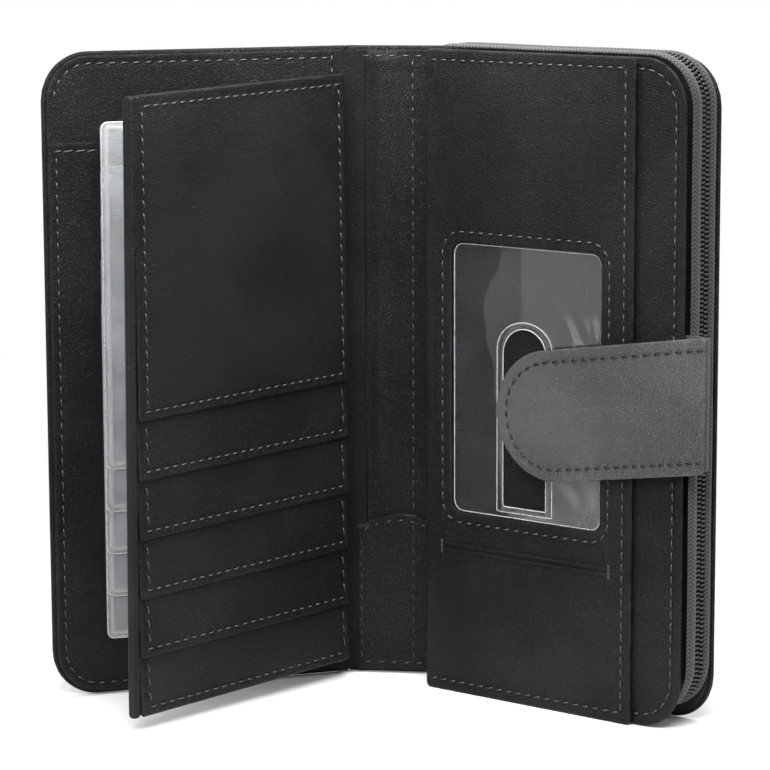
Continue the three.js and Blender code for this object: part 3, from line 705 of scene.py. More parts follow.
def leather_material(name, color, roughness, cells=1000.0, depth=0.00014, flecks=0.45,
                     specular=0.13):
    """Coated leather: pebbled, duller in its creases and darkened there with painted shade;
    greyer and smoother where rubbed at the rim, which is wear together with a painted highlight
    on the rolled edges.
    """
    material, t, shader = new_material(name, Specular_IOR_Level=specular)
    if t is None:
        return material
    place = t.node("ShaderNodeTexCoord").outputs["Object"]
    edge = t.node("ShaderNodeAttribute", attribute_name="edge").outputs["Fac"]
    grain = use_group(t, leather_grain(), Place=place, Cells=cells)
    rim_wear_and_highlight = use_group(t, edge_wear_and_highlight(), Place=place, Edge=edge)
    lint = use_group(t, dust(), Place=place)
    # painted shade: the grain's creases darkened to 0.55 of the colour
    crease_shade = tuple(0.55 * c for c in color) + (1.0,)
    base = t.mix(grain.outputs["Crease"], tuple(color) + (1.0,), crease_shade)
    pale = tuple(1.45 * c + 0.003 for c in color) + (1.0,)
    patched = t.mix(t.sum("MULTIPLY", grain.outputs["Patch"], 0.75), base, pale)
    # rim colour: wear, and in part a painted highlight on the rolled edges
    worn_and_lit_rim = tuple(2.3 * c + 0.012 for c in color) + (1.0,)
    rubbed = t.mix(t.sum("MULTIPLY", rim_wear_and_highlight.outputs["Mask"], 0.55), patched, worn_and_lit_rim)
    flecked = t.mix(t.sum("MULTIPLY", grain.outputs["Fleck"], flecks), rubbed,
                    (0.12, 0.12, 0.125, 1.0))
    dusted = t.mix(t.sum("MULTIPLY", lint.outputs["Mask"], 0.1), flecked,
                   (0.3, 0.3, 0.3, 1.0))
    t.link(dusted, shader.inputs["Base Color"])
    dull = t.sum("MULTIPLY_ADD", grain.outputs["Crease"], 0.14, roughness)
    patchy = t.sum("MULTIPLY_ADD", grain.outputs["Patch"], -0.07, dull)
    t.link(t.sum("MULTIPLY_ADD", rim_wear_and_highlight.outputs["Mask"], -0.1, patchy),
           shader.inputs["Roughness"])
    bump = t.node("ShaderNodeBump", Strength=1.0, Distance=depth)
    t.link(grain.outputs["Height"], bump.inputs["Height"])
    t.link(bump.outputs["Normal"], shader.inputs["Normal"])
    return material


def body_leather():
    """The leather of the shells, rims and folds."""
    return leather_material("Black Leather", look().leather_color, 0.42, cells=1300.0)


def pocket_leather():
    """The thinner leather of the pockets, with a finer grain and pale flecks."""
    return leather_material("Pocket Leather", look().leather_color, 0.4, cells=1500.0,
                            depth=0.00014, flecks=0.5)


def strap_leather():
    """The strap's greyer leather, with a fine grain; its colour is set lighter than the body
    leather, partly its own greyer tone and partly painted sheen.
    """
    return leather_material("Strap Leather", look().strap_color_and_sheen, 0.4, cells=1500.0,
                            depth=0.0002, flecks=0.3, specular=0.35)


def shaded_crease_leather():
    """Leather of the folds and slots, matt and darker: painted shade, a copy of the body leather
    at half its colour that stands in for the shade in folds, gaps and the slit.
    """
    # painted shade: the body leather's colour halved
    color = tuple(0.5 * c for c in look().leather_color)
    return leather_material("Painted Shade Leather", color, 0.7, cells=1200.0, flecks=0.1)


def thread_material(name="Black Thread", gloss=0.6, shade=1.0):
    """Black sewing thread: two plies twisted together, with a slight gloss. A shade below 1
    gives a darker copy of the thread, which is painted shade.
    """
    material, t, shader = new_material(name, Specular_IOR_Level=gloss)
    if t is None:
        return material
    place = t.node("ShaderNodeTexCoord").outputs["Object"]
    fibres = t.node("ShaderNodeTexNoise", Scale=4200.0, Detail=2.0)
    t.link(place, fibres.inputs["Vector"])
    # painted shade: a shade below 1 darkens this copy of the thread
    thread = tuple(shade * c for c in look().thread_color)
    light = tuple(min(1.0, 2.1 * c) for c in thread) + (1.0,)
    t.link(t.mix(t.ramp(fibres.outputs["Fac"], 0.4, 0.7), thread + (1.0,), light),
           shader.inputs["Base Color"])
    t.link(t.sum("MULTIPLY_ADD", fibres.outputs["Fac"], 0.25, 0.2),
           shader.inputs["Roughness"])
    bump = t.node("ShaderNodeBump", Strength=0.6, Distance=0.00008)
    t.link(fibres.outputs["Fac"], bump.inputs["Height"])
    t.link(bump.outputs["Normal"], shader.inputs["Normal"])
    return material


def film_material(name, color, clear, roughness, wave, tilt=0.0):
    """Vinyl sheet: waves and small dents under the gloss, whiter along its welds."""
    material, t, shader = new_material(
        name, Transmission_Weight=clear, IOR=1.5, Specular_IOR_Level=1.0,
        Coat_Weight=1.0, Coat_Roughness=0.04)
    if t is None:
        return material
    place = t.node("ShaderNodeTexCoord").outputs["Object"]
    weld = t.node("ShaderNodeAttribute", attribute_name="edge").outputs["Fac"]
    haze = t.node("ShaderNodeTexNoise", Scale=70.0, Detail=4.0)
    t.link(place, haze.inputs["Vector"])
    hazy = t.ramp(haze.outputs["Fac"], 0.3, 0.75)
    cloudy = tuple(0.82 * c for c in color) + (1.0,)
    base = t.mix(hazy, cloudy, tuple(color) + (1.0,))
    t.link(t.mix(weld, base, (0.97, 0.98, 0.99, 1.0)), shader.inputs["Base Color"])
    scuff = t.sum("MULTIPLY_ADD", hazy, 0.05, roughness)
    t.link(t.sum("MULTIPLY_ADD", weld, 0.45, scuff), shader.inputs["Roughness"])
    swell = t.node("ShaderNodeTexNoise", Scale=24.0, Detail=3.0, Distortion=0.5)
    t.link(place, swell.inputs["Vector"])
    across = t.node("ShaderNodeAttribute", attribute_name="across").outputs["Fac"]
    crease = t.sum("MULTIPLY_ADD", swell.outputs["Fac"], 0.035, t.sum(
        "SUBTRACT", across, 0.046))
    sagged = t.sum("MULTIPLY", t.sum("MAXIMUM", crease, 0.0), -tilt / wave)
    bump = t.node("ShaderNodeBump", Strength=1.0, Distance=wave)
    t.link(t.sum("MULTIPLY_ADD", swell.outputs["Fac"], 1.0, sagged), bump.inputs["Height"])
    t.link(bump.outputs["Normal"], shader.inputs["Normal"])
    return material


def sleeve_film():
    """Slightly milky vinyl of the clear sleeves."""
    return film_material("Sleeve Vinyl", look().film_color, 0.78, 0.06, 0.0006)


def window_film_material():
    """Clearer vinyl of the window, which tilts past a crease in it."""
    return film_material("Window Vinyl", (0.95, 0.96, 0.98), 0.988, 0.04, 0.0012, 0.2)


def cloth_material(name, color, yarns, bands):
    """Woven cloth on the piece's own weave attribute, in metres along and across."""
    material, t, shader = new_material(name, Specular_IOR_Level=0.25, Sheen_Weight=0.15)
    if t is None:
        return material
    place = t.node("ShaderNodeAttribute", attribute_name="weave").outputs["Vector"]
    weave = use_group(t, cloth_weave(), Place=place, Yarns=yarns, Bands=bands)
    height = weave.outputs["Height"]
    pale = tuple(4.5 * c for c in color) + (1.0,)
    t.link(t.mix(height, tuple(color) + (1.0,), pale), shader.inputs["Base Color"])
    t.link(t.sum("MULTIPLY_ADD", height, -0.12, 0.86), shader.inputs["Roughness"])
    bump = t.node("ShaderNodeBump", Strength=0.9, Distance=0.00015)
    t.link(height, bump.inputs["Height"])
    t.link(bump.outputs["Normal"], shader.inputs["Normal"])
    return material


def tape_cloth():
    """Herringbone cloth of the zip's tape."""
    return cloth_material("Zip Tape Cloth", look().cloth_color, 5200.0, 700.0)


def lining_cloth():
    """Plain woven lining, read on Object coordinates because it lies on CAD pieces."""
    color = look().cloth_color
    material, t, shader = new_material("Lining Cloth", Specular_IOR_Level=0.2)
    if t is None:
        return material
    place = t.node("ShaderNodeTexCoord").outputs["Object"]
    weave = use_group(t, cloth_weave(), Place=place, Yarns=9000.0, Bands=1100.0)
    height = weave.outputs["Height"]
    pale = tuple(2.0 * c for c in color) + (1.0,)
    t.link(t.mix(height, tuple(color) + (1.0,), pale), shader.inputs["Base Color"])
    t.link(t.sum("MULTIPLY_ADD", height, -0.1, 0.9), shader.inputs["Roughness"])
    return material


def coil_nylon():
    """Nylon of the zip's coil."""
    material, t, shader = new_material("Coil Nylon", Specular_IOR_Level=0.5)
    if t is None:
        return material
    place = t.node("ShaderNodeTexCoord").outputs["Object"]
    draw = t.node("ShaderNodeTexNoise", Scale=900.0, Detail=3.0)
    t.link(place, draw.inputs["Vector"])
    t.link(t.mix(draw.outputs["Fac"], (0.008, 0.008, 0.009, 1.0), (0.03, 0.03, 0.032, 1.0)),
           shader.inputs["Base Color"])
    t.link(t.sum("MULTIPLY_ADD", draw.outputs["Fac"], 0.2, 0.28), shader.inputs["Roughness"])
    return material


def dark_metal():
    """Dark nickel plate: fine scratches, smudges and brighter rubbed patches."""
    material, t, shader = new_material("Dark Nickel", Metallic=1.0)
    if t is None:
        return material
    place = t.node("ShaderNodeTexCoord").outputs["Object"]
    smudge = t.node("ShaderNodeTexNoise", Scale=500.0, Detail=5.0)
    scratch = t.node("ShaderNodeTexNoise", Scale=2600.0, Detail=2.0)
    t.link(place, smudge.inputs["Vector"])
    t.link(place, scratch.inputs["Vector"])
    metal = tuple(look().metal_color)
    rubbed = tuple(min(1.0, 1.25 * c) for c in metal) + (1.0,)
    t.link(t.mix(t.ramp(smudge.outputs["Fac"], 0.4, 0.65), metal + (1.0,), rubbed),
           shader.inputs["Base Color"])
    t.link(t.sum("MULTIPLY_ADD", smudge.outputs["Fac"], 0.3, 0.12),
           shader.inputs["Roughness"])
    bump = t.node("ShaderNodeBump", Strength=0.3, Distance=0.00003)
    t.link(scratch.outputs["Fac"], bump.inputs["Height"])
    t.link(bump.outputs["Normal"], shader.inputs["Normal"])
    return material


def dress(node, material):
    """Give a carried-over solid its finish."""
    solid = frame["nodes"][node]
    solid.data.materials.clear()
    solid.data.materials.append(material)


def flat_level(level):
    """Height function of a flat face."""
    return lambda x, y: level + 0.0 * x


def seam_of(panel, open_side=None, inset=None):
    """A panel's seam line with the level its thread lies at."""
    return seam_line(panel, inset, open_side), panel.front


def straight(x0, y0, x1, y1):
    """Line between two points."""
    return np.array([[x0, y0], [x1, y1]], float)


def bar_tack(x, y, length, level, upright=True):
    """A row of close stitches that bars the end of a slit or pocket mouth."""
    half = length / 2
    ends = (x, y - half, x, y + half) if upright else (x - half, y, x + half, y)
    return straight(*ends), flat_level(level)


def bezier(start, first, second, end, steps):
    """Points of a cubic curve; each control may be one point or a row of points."""
    t = np.linspace(0, 1, steps)
    t = t.reshape((steps,) + (1,) * np.ndim(start))
    return ((1 - t) ** 3 * start + 3 * (1 - t) ** 2 * t * first
            + 3 * (1 - t) * t ** 2 * second + t ** 3 * end)


def thick_strip(middle, thickness):
    """Closed skin about a grid of middle points: half the thickness to each side, with
    the outermost points left on the middle so that the rim comes to a rounded edge."""
    along = np.gradient(middle, axis=0)
    across = np.gradient(middle, axis=1)
    normal = np.cross(along, across)
    normal /= np.maximum(np.linalg.norm(normal, axis=-1, keepdims=True), 1e-12)
    rows, columns = middle.shape[:2]
    rim = np.ones((rows, columns, 1))
    rim[[0, -1], :] = 0.0
    rim[:, [0, -1]] = 0.0
    half = MM * thickness / 2
    return closed_sheet(middle + half * rim * normal, middle - half * rim * normal)


def fold_strip(name, first, second, bottom, top, thickness, material=None):
    """Leather that crosses a fold: a cubic curve in plan from one leaf to the next,
    carried up the wallet. first and second are (leaf, x, level, x of the bend)."""
    leaf_a, x_a, level_a, bend_a = first
    leaf_b, x_b, level_b, bend_b = second
    start = leaf_a.stand(x_a, 0.0, level_a)
    end = leaf_b.stand(x_b, 0.0, level_b)
    curve = bezier(start, leaf_a.stand(bend_a, 0.0, level_a),
                   leaf_b.stand(bend_b, 0.0, level_b), end, 17)
    rows = MM * (bottom + spread(top - bottom, 9.0))
    middle = np.repeat(curve[None, :, :], len(rows), axis=0)
    middle[:, :, 2] = rows[:, None]
    points, faces = thick_strip(middle, thickness)
    piece = make_piece(name, points, faces, material or body_leather(), None)
    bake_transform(piece)
    return piece


def cover_panels():
    """The cover's outer leather, inside leather and slip pocket."""
    outer = Panel(COVER, -COVER_LENGTH, -0.95, 0, HEIGHT, (CORNER, 0, 0, CORNER),
                  level=-0.7, thickness=1.4, roll=0.7, swell=0.0, wave=0.0, furrow=0.0)
    inside = Panel(COVER, -COVER_LENGTH + 1.2, -2.2, 1.2, HEIGHT - 1.2,
                   (CORNER - 1.2, 0, 0, CORNER - 1.2), level=1.0, thickness=0.6,
                   roll=0.45, seam=2.3, swell=0.2, phase=0.7)
    slip = Panel(COVER, -COVER_LENGTH + 1.3, -2.8, 1.3, SLIP_TOP, (CORNER - 1.2, 0, 0, 0),
                 level=1.9, thickness=0.6, roll=0.45, seam=2.4, swell=0.12, phase=1.6)
    return outer, inside, slip


def build_cover():
    """The cover's three layers and their seams, inside and out."""
    outer, inside, slip = cover_panels()
    panel_piece("cover_outer", outer, body_leather(), replaced=["cover_shell"])
    panel_piece("cover_inside", inside, pocket_leather(), replaced=["cover_lining"])
    panel_piece("slip_pocket_panel", slip, pocket_leather(), replaced=["slip_pocket"])
    top = seam_line(inside, None, "right")
    above = top[top[:, 1] > SLIP_TOP + 1.0]
    below_line = seam_line(slip, None, "right")
    below = below_line[(below_line[:, 1] < SLIP_TOP - 1.0)]
    hem = straight(-COVER_LENGTH + 5.0, SLIP_TOP - 2.5, -5.6, SLIP_TOP - 2.5)
    edge = straight(-5.6, 188.0, -5.6, SLIP_TOP + 1.0)
    stitching("cover_stitches", COVER, [
        (above, inside.front), (below, slip.front), (hem, slip.front),
        (edge, inside.front)], 3.5)
    seam = outline(outer.left, outer.right, outer.bottom, outer.top, outer.radii, 3.5)
    outside = np.concatenate([[[outer.right, HEIGHT - 3.5]], seam[20:],
                              [[outer.right, 3.5]]])
    stitching("cover_outer_stitches", COVER, [(outside, flat_level(-0.72))], 3.5,
              radius=0.28, slant=-9.0)


def weld_material():
    """Heat weld of the vinyl: milky where the sheets are pressed together."""
    material, t, shader = new_material("Vinyl Weld", Transmission_Weight=0.35, IOR=1.5)
    if t is None:
        return material
    place = t.node("ShaderNodeTexCoord").outputs["Object"]
    press = t.node("ShaderNodeTexNoise", Scale=800.0, Detail=2.0)
    t.link(place, press.inputs["Vector"])
    t.link(t.mix(press.outputs["Fac"], (0.42, 0.43, 0.45, 1.0), (0.72, 0.73, 0.75, 1.0)),
           shader.inputs["Base Color"])
    t.link(t.sum("MULTIPLY_ADD", press.outputs["Fac"], 0.3, 0.15),
           shader.inputs["Roughness"])
    return material


def weld_beads(name, leaf, lines, level, radius=0.16):
    """Raised lines of a weld: a flat six-sided bead carried along each line."""
    angle = np.radians(np.arange(0, 360, 60))
    points, faces, total = [], [], 0
    for line in lines:
        length = line_length(line)
        distance = np.linspace(0, length, max(3, int(length / 1.6)))
        place, ahead = along_line(line, distance)
        across = np.stack([-ahead[:, 1], ahead[:, 0]], axis=-1)
        side = radius * np.cos(angle)
        x = place[:, 0][:, None] + across[:, 0][:, None] * side
        y = place[:, 1][:, None] + across[:, 1][:, None] * side
        z = np.broadcast_to(level + 0.7 * radius * np.sin(angle), x.shape)
        ring_points, ring_faces = swept(leaf.stand(x, y, z))
        points.append(ring_points)
        faces += [[total + corner for corner in face] for face in ring_faces]
        total += len(ring_points)
    make_piece(name, np.concatenate(points), faces, weld_material(),
               leaf.body)


def build_sleeves():
    """A fanned stack of clear sleeves with welded rims, the first highest and nearest."""
    for index in range(SLEEVE_COUNT):
        top = SLEEVE_TOP - SLEEVE_STEP * index
        level = SLEEVE_LEVEL + (SLEEVE_COUNT - 1 - index) * SLEEVE_GAP
        film = Panel(COVER, -77.0, -4.6, top - SLEEVE_LENGTH, top, (2.2, 0, 0, 2.2), level=level,
                     thickness=0.25, roll=0.12, seam=1.8, furrow=-0.22, swell=0.06,
                     wave=0.05, phase=0.9 * index)
        film.edge = lambda x, y, film=film: np.maximum(
            np.exp(-((film.rim(x, y) - 1.8) / 0.55) ** 2),
            np.exp(-np.maximum(film.rim(x, y), 0) / 0.4))
        panel_piece(f"clear_sleeve_{index + 1}", film, sleeve_film(),
                    [f"sleeve_{index + 1}"])
        lines = [seam_line(film, inset, "right") for inset in (0.25, 1.7)]
        weld_beads(f"sleeve_weld_{index + 1}", COVER, lines, level + 0.25)


FLAP_FRONT = 3.156


def pocket_level(bottom):
    """Level of a card slot's underside: it falls in a straight line from its bottom."""
    reach = SLOT_STEP + SLOT_OVERLAP
    return lambda y: SLOT_LEVEL - np.clip(y - bottom, 0, reach) * SLOT_RISE


def flap_panels():
    """Top pocket and five card slots, each sloping back under the one above."""
    fall = (SLOT_LEVEL - 0.8) / (FLAP_TOP - FIRST_MOUTH)
    top = Panel(FLAP, -86.4, -0.6, FIRST_MOUTH, FLAP_TOP, (1.2, 0, 0, 1.2),
                level=lambda y: SLOT_LEVEL - (y - FIRST_MOUTH) * fall, thickness=0.8, roll=0.45,
                seam=2.5, furrow=0.2, swell=0.16, wave=0.12, phase=0.4)
    slots = []
    for index in range(SLOT_COUNT):
        mouth = FIRST_MOUTH - SLOT_STEP * index
        bottom = mouth - SLOT_STEP if index < SLOT_COUNT - 1 else FLAP_BOTTOM
        slots.append(Panel(
            FLAP, -86.4, -0.6, bottom, mouth + SLOT_OVERLAP, (1.2, 0, 0, 0),
            level=pocket_level(bottom), thickness=0.8, roll=0.45, seam=2.5, furrow=0.2,
            swell=0.05, wave=0.1, phase=1.3 * index))
    return top, slots


def flap_back_rings():
    """The flap's back with its free edge turned forward over the pockets: a closed
    plan profile with rounded edges, carried up from the bottom to the top."""
    front = FLAP_FRONT + 0.05
    left = -FLAP_LENGTH
    angle = np.radians(np.linspace(-90, 90, 9))
    bead = np.stack([0.5 * np.cos(angle), 0.5 * np.sin(angle)], axis=-1)
    angle = np.radians(np.linspace(0, 180, 13))
    roll = np.stack([left + 0.9 + 0.9 * np.cos(angle), front - 0.9 + 0.9 * np.sin(angle)],
                    axis=-1)
    angle = np.radians(np.linspace(180, 270, 7))
    heel = np.stack([left + 0.8 + 0.8 * np.cos(angle), 0.3 + 0.8 * np.sin(angle)], axis=-1)
    inner = np.array([[-20.0, 0.5], [-50.0, 0.5], [left + 2.2, 0.5], [left + 1.8, 0.8]])
    outer = np.array([[-84.0, -0.5], [-60.0, -0.5], [-30.0, -0.5], [-10.0, -0.5]])
    profile = np.concatenate([bead, inner, roll, heel, outer])
    rows = FLAP_BOTTOM + spread(FLAP_TOP - FLAP_BOTTOM, 6.0)
    from_end = np.minimum(rows - FLAP_BOTTOM, FLAP_TOP - rows)
    shrink = 1 - 0.45 * (1 - np.clip(from_end / 0.8, 0, 1)) ** 2
    middle = 0.5 * (profile[:, 1].max() + profile[:, 1].min())
    middle = np.where(profile[:, 0] > -86, 0.0, middle)
    level = middle + (profile[:, 1] - middle) * shrink[:, None]
    x = np.broadcast_to(profile[:, 0], level.shape)
    puff = 0.12 * undulation(x, rows[:, None], 0.3) * (np.abs(x + 44) < 40)
    return FLAP.stand(x, rows[:, None], level + np.where(level < 0, puff - 0.05, 0.0))


def build_flap():
    """The card flap: its back, its pockets and their seams."""
    points, faces = swept(flap_back_rings())
    make_piece("flap_back_leather", points, faces, body_leather(), "flap",
               ["flap_back"])
    top, slots = flap_panels()
    panel_piece("top_pocket_panel", top, pocket_leather(), replaced=["flap_top_pocket"])
    lines = [
        (straight(-82.5, 178.0, -1.6, 178.0), top.front),
        (straight(-83.0, 177.0, -83.0, 93.5), top.front),
        (straight(-84.0, 93.1, -2.0, 93.1), top.front),
        (straight(-2.9, 177.0, -2.9, 93.5), top.front),
    ]
    for index, slot in enumerate(slots):
        panel_piece(f"card_slot_{index + 1}_panel", slot, pocket_leather(),
                    replaced=[f"card_slot_{index + 1}"])
        if index < SLOT_COUNT - 1:
            y = slot.bottom + 2.5
            lines.append((straight(-84.0, y, -2.0, y), slot.front))
        for x in (-83.0, -2.9):
            lines.append((straight(x, slot.bottom + 15.6, x, slot.bottom + 3.4),
                          slot.front))
    lines.append((straight(-83.0, 8.5, -3.0, 8.5), slots[-1].front))
    stitching("flap_stitches", FLAP, lines, stitch_pitch())
    back = [(straight(-84.0, 177.5, -84.0, 9.5), flat_level(-0.55)),
            (straight(-83.0, 178.0, -4.0, 178.0), flat_level(-0.55)),
            (straight(-83.0, 9.0, -4.0, 9.0), flat_level(-0.55))]
    stitching("flap_back_stitches", FLAP, back, stitch_pitch(), slant=-9.0, radius=0.26)


def build_flap_hinge():
    """Leather that the flap hangs by: a cubic curve in plan from the binding's side to
    the flap's back, carried up the flap and bent with it."""
    rows = FLAP_BOTTOM + spread(FLAP_TOP - FLAP_BOTTOM, 9.0)
    start = COVER.stand(-3.1, rows, 2.9)
    end = FLAP.stand(-2.4, rows, 0.68)
    curve = bezier(start, COVER.stand(-3.1, rows, 3.9), FLAP.stand(-0.5, rows, 0.7), end, 17)
    points, faces = thick_strip(np.swapaxes(curve, 0, 1), 0.3)
    # the hinge strip is in the painted shade leather, a darkened copy standing in for the shadow
    # beside the binding
    piece = make_piece("flap_hinge_strip", points, faces, shaded_crease_leather())
    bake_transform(piece)


def build_binding():
    """The bound edge that carries the sleeves and the flap: an upright fold of leather."""
    angle = np.radians(np.linspace(0, 180, 11))
    crown = np.stack([-3.55 + 0.75 * np.cos(angle), 4.55 + 0.75 * np.sin(angle)], axis=-1)
    sides = np.array([[-4.3, 3.4], [-4.3, 2.75], [-2.8, 2.75], [-2.8, 3.4]])
    profile = np.concatenate([crown, sides])
    rows = FLAP_BOTTOM + spread(FLAP_TOP - FLAP_BOTTOM, 5.0)
    x = np.broadcast_to(profile[:, 0], (len(rows), len(profile)))
    ripple = 0.06 * np.sin(rows / 1.1)[:, None] * (profile[:, 1] > 4)
    rings = COVER.stand(x, rows[:, None], profile[:, 1] + ripple)
    points, faces = swept(rings)
    # the binding fold is in the painted shade leather, a darkened copy standing in for its
    # shadow
    make_piece("flap_binding_fold", points, faces, shaded_crease_leather(), "cover",
               ["flap_binding"])
    build_flap_hinge()


def spine_lining_panel():
    """The spine's lining, with a soft ridge: a bell curve across, fading in up the spine."""
    lining = Panel(SPINE, 2.2, SPINE_LENGTH - 2.3, 1.2, HEIGHT - 1.2, level=1.0,
                   thickness=0.6, roll=0.3, seam=1.4, furrow=0.1, swell=0.0, phase=2.2)
    plain = lining.front

    def ridged(x, y):
        ridge = 1.9 * np.exp(-((x - 10.5) / 3.2) ** 2) * smooth_step((y - 44) / 26)
        top_fold = -0.22 * np.exp(-((y - 183.0 + 0.03 * x) / 0.9) ** 2)
        waver = 0.1 * undulation(x, y, 0.8, 22.0)
        fade = smooth_step(lining.rim(x, y) / 3.0)
        return plain(x, y) + (ridge + top_fold + waver) * fade

    lining.front = ridged
    return lining


def pen_pocket_surface():
    """A patch whose top edge is a parabola: x across, and y from the hem to that edge."""
    across = spread(SPINE_LENGTH - 2.5 - 2.8, 2.0) + 2.5
    left, right = across[0], across[-1]
    share = (across - left) / (right - left)
    edge = 45.0 + 4.5 * 4 * share * (1 - share)
    up = spread(45.0 - 1.2, 2.6)
    up = up / up[-1]
    y = 1.2 + up[:, None] * (edge - 1.2)[None, :]
    x = np.broadcast_to(across, y.shape)
    rim = np.minimum(np.minimum(x - left, right - x), np.minimum(edge - y, y - 1.2))
    bulge = 0.9 * np.exp(-((x - 11.0) / 2.6) ** 2) * smooth_step((y - 4) / 40)
    swell = 0.06 * smooth_step(rim / 1.2) * undulation(x, y, 1.1, 16.0)
    roll = np.sqrt(np.clip(1 - (1 - np.clip(rim / 0.35, 0, 1)) ** 2, 0, 1))
    base = 2.15 + bulge
    return x, y, base + 0.3 * roll + np.maximum(swell, 0), base - 0.3 * roll, rim


def build_spine():
    """The spine, its lining, its pen pocket and their stitches."""
    outer = Panel(SPINE, -0.7, SPINE_LENGTH + 0.7, 0, HEIGHT, level=-0.7, thickness=1.4,
                  roll=0.7, furrow=0.0, swell=0.0, wave=0.0)
    panel_piece("spine_outer", outer, body_leather(), replaced=["spine_shell"])
    lining = spine_lining_panel()
    panel_piece("spine_inside", lining, pocket_leather(), replaced=["spine_lining"])
    x, y, front, back, rim = pen_pocket_surface()
    points, faces = closed_sheet(SPINE.stand(x, y, front), SPINE.stand(x, y, back))
    near = np.exp(-np.maximum(rim, 0) / 0.7)
    near = np.concatenate([near.ravel(), near[1:-1, 1:-1].ravel()])
    make_piece("pen_pocket_patch", points, faces, pocket_leather(), "spine",
               ["pen_pocket"], edge=near)
    across = np.linspace(3.4, 27.6, 12)
    share = (across - 2.5) / (SPINE_LENGTH - 5.3)
    mouth = np.stack([across, 43.0 + 18 * share * (1 - share)], axis=-1)
    lines = [
        (straight(3.4, 187.0, 27.0, 187.0), lining.front),
        (straight(19.5, 186.0, 19.5, 50.0), lining.front),
        (straight(3.3, 186.0, 3.3, 48.0), lining.front),
    ]
    stitching("spine_stitches", SPINE, lines, stitch_pitch(), radius=0.26)
    lines = [
        (straight(3.6, 42.0, 3.6, 4.0), flat_level(2.24)),
        (straight(19.5, 47.0, 19.5, 4.0), flat_level(2.24)),
        (straight(3.6, 3.4, 27.0, 3.4), flat_level(2.24)),
        (mouth, lambda px, py: 2.26 + 0.9 * np.exp(-((px - 11.0) / 2.6) ** 2)),
    ]
    stitching("pen_pocket_stitches", SPINE, lines, stitch_pitch(), radius=0.2)
    tacks = [bar_tack(4.2, 45.4, 3.6, 2.2, False), bar_tack(18.6, 48.8, 3.6, 2.2, False)]
    stitching("pocket_bar_tacks", SPINE, tacks, 0.55, slant=82.0, share=2.4, radius=0.16)


def build_folds():
    """Leather across the folds between the cover, the spine and the case."""
    # the inside fold is in the painted shade leather, a darkened copy standing in for the shade
    # in the gutter
    fold_strip("fold_inside_cover", (COVER, -5.5, 1.75, -1.2), (SPINE, 5.5, 1.75, 1.2),
               1.4, HEIGHT - 1.4, 0.45, shaded_crease_leather())
    fold_strip("fold_outside_cover", (COVER, -4.5, -0.85, -1.0), (SPINE, 4.5, -0.85, 1.0),
               0.3, HEIGHT - 0.3, 0.4)
    fold_strip("fold_outside_case", (SPINE, SPINE_LENGTH - 4.5, -0.85, SPINE_LENGTH - 1.0),
               (CASE, 4.5, -0.85, 1.0), 0.3, HEIGHT - 0.3, 0.4)


def window_loop(grow, points):
    """The window's rounded outline grown by a distance, at evenly spread corners."""
    left, right, bottom, top, radius = WINDOW
    return outline(left - grow, right + grow, bottom - grow, top + grow,
                   [radius + grow] * 4)[:points]


def densify(loop, step):
    """A closed outline with its long sides split into short legs."""
    closed = np.concatenate([loop, loop[:1]])
    pieces = []
    for start, end in zip(closed[:-1], closed[1:]):
        count = max(1, int(np.ceil(np.linalg.norm(end - start) / step)))
        share = np.arange(count)[:, None] / count
        pieces.append(start + share * (end - start))
    return np.concatenate(pieces)


def frame_grid(outer_box, hole_box, step):
    """Grid round a rounded hole inside a rounded outline: both outlines are cut at the
    same shares of each side, and columns run from the hole to the outline."""
    outer = outline(*outer_box[:4], [outer_box[4]] * 4)
    hole = outline(*hole_box[:4], [hole_box[4]] * 4)
    count = []
    closed = np.concatenate([outer, outer[:1]])
    for start, end in zip(closed[:-1], closed[1:]):
        count.append(max(1, int(np.ceil(np.linalg.norm(end - start) / step))))

    def split(loop):
        ring = np.concatenate([loop, loop[:1]])
        parts = [a + np.arange(n)[:, None] / n * (b - a)
                 for a, b, n in zip(ring[:-1], ring[1:], count)]
        return np.concatenate(parts)

    near, far = split(hole), split(outer)
    gap = np.linalg.norm(far - near, axis=1)
    steps = np.array([0, 0.1, 0.3, 0.6, 1.0, 1.6, 2.3, 2.7, 3.0, 3.4, 3.8, 4.4, 5.4])
    room = gap.min() / 2 - 0.4
    steps = steps[steps < room]
    wide = gap[:, None] - 2 * steps[-1]
    middle = steps[-1] + np.linspace(0, 1, 7)[None, 1:-1] * wide
    first = np.broadcast_to(steps, (len(gap), len(steps)))
    reach = np.concatenate([first, middle, gap[:, None] - first[:, ::-1]], axis=1)
    share = (reach / gap[:, None])[..., None]
    return near[:, None, :] * (1 - share) + far[:, None, :] * share, reach, gap


def box_distance(x, y, left, right, bottom, top, radius):
    """Signed distance inside a rounded box, positive within it."""
    over_x = np.abs(x - (left + right) / 2) - (right - left) / 2 + radius
    over_y = np.abs(y - (bottom + top) / 2) - (top - bottom) / 2 + radius
    beyond = np.hypot(np.maximum(over_x, 0), np.maximum(over_y, 0))
    return radius - beyond - np.minimum(np.maximum(over_x, over_y), 0)


def bill_front(x, y):
    """Level of the bill pocket: rolled rims at its edge and at the window, furrows
    along both seams, and a soft swell with a slight sag above and below the slit."""
    outer = box_distance(x, y, *BILL)
    inner = -box_distance(x, y, *WINDOW)
    rim = np.minimum(outer, inner)
    roll = np.sqrt(np.clip(1 - (1 - np.clip(rim / 0.6, 0, 1)) ** 2, 0, 1))
    furrow = 0.16 * np.exp(-((outer - 3.1) / 0.55) ** 2)
    furrow = furrow + 0.16 * np.exp(-((inner - 3.0) / 0.55) ** 2)
    inside = smooth_step((rim - 3.6) / 6.0)
    beside_slit = smooth_step((x - 5) / 8) * smooth_step((71 - x) / 8)
    slit = 0.3 * np.exp(-((y - SLIT_HEIGHT) / 2.0) ** 2) * beside_slit
    swell = inside * (0.3 + 0.16 * undulation(x, y, 2.0)) - slit * 0.8
    return BILL_LEVEL + 0.5 * roll - furrow + swell


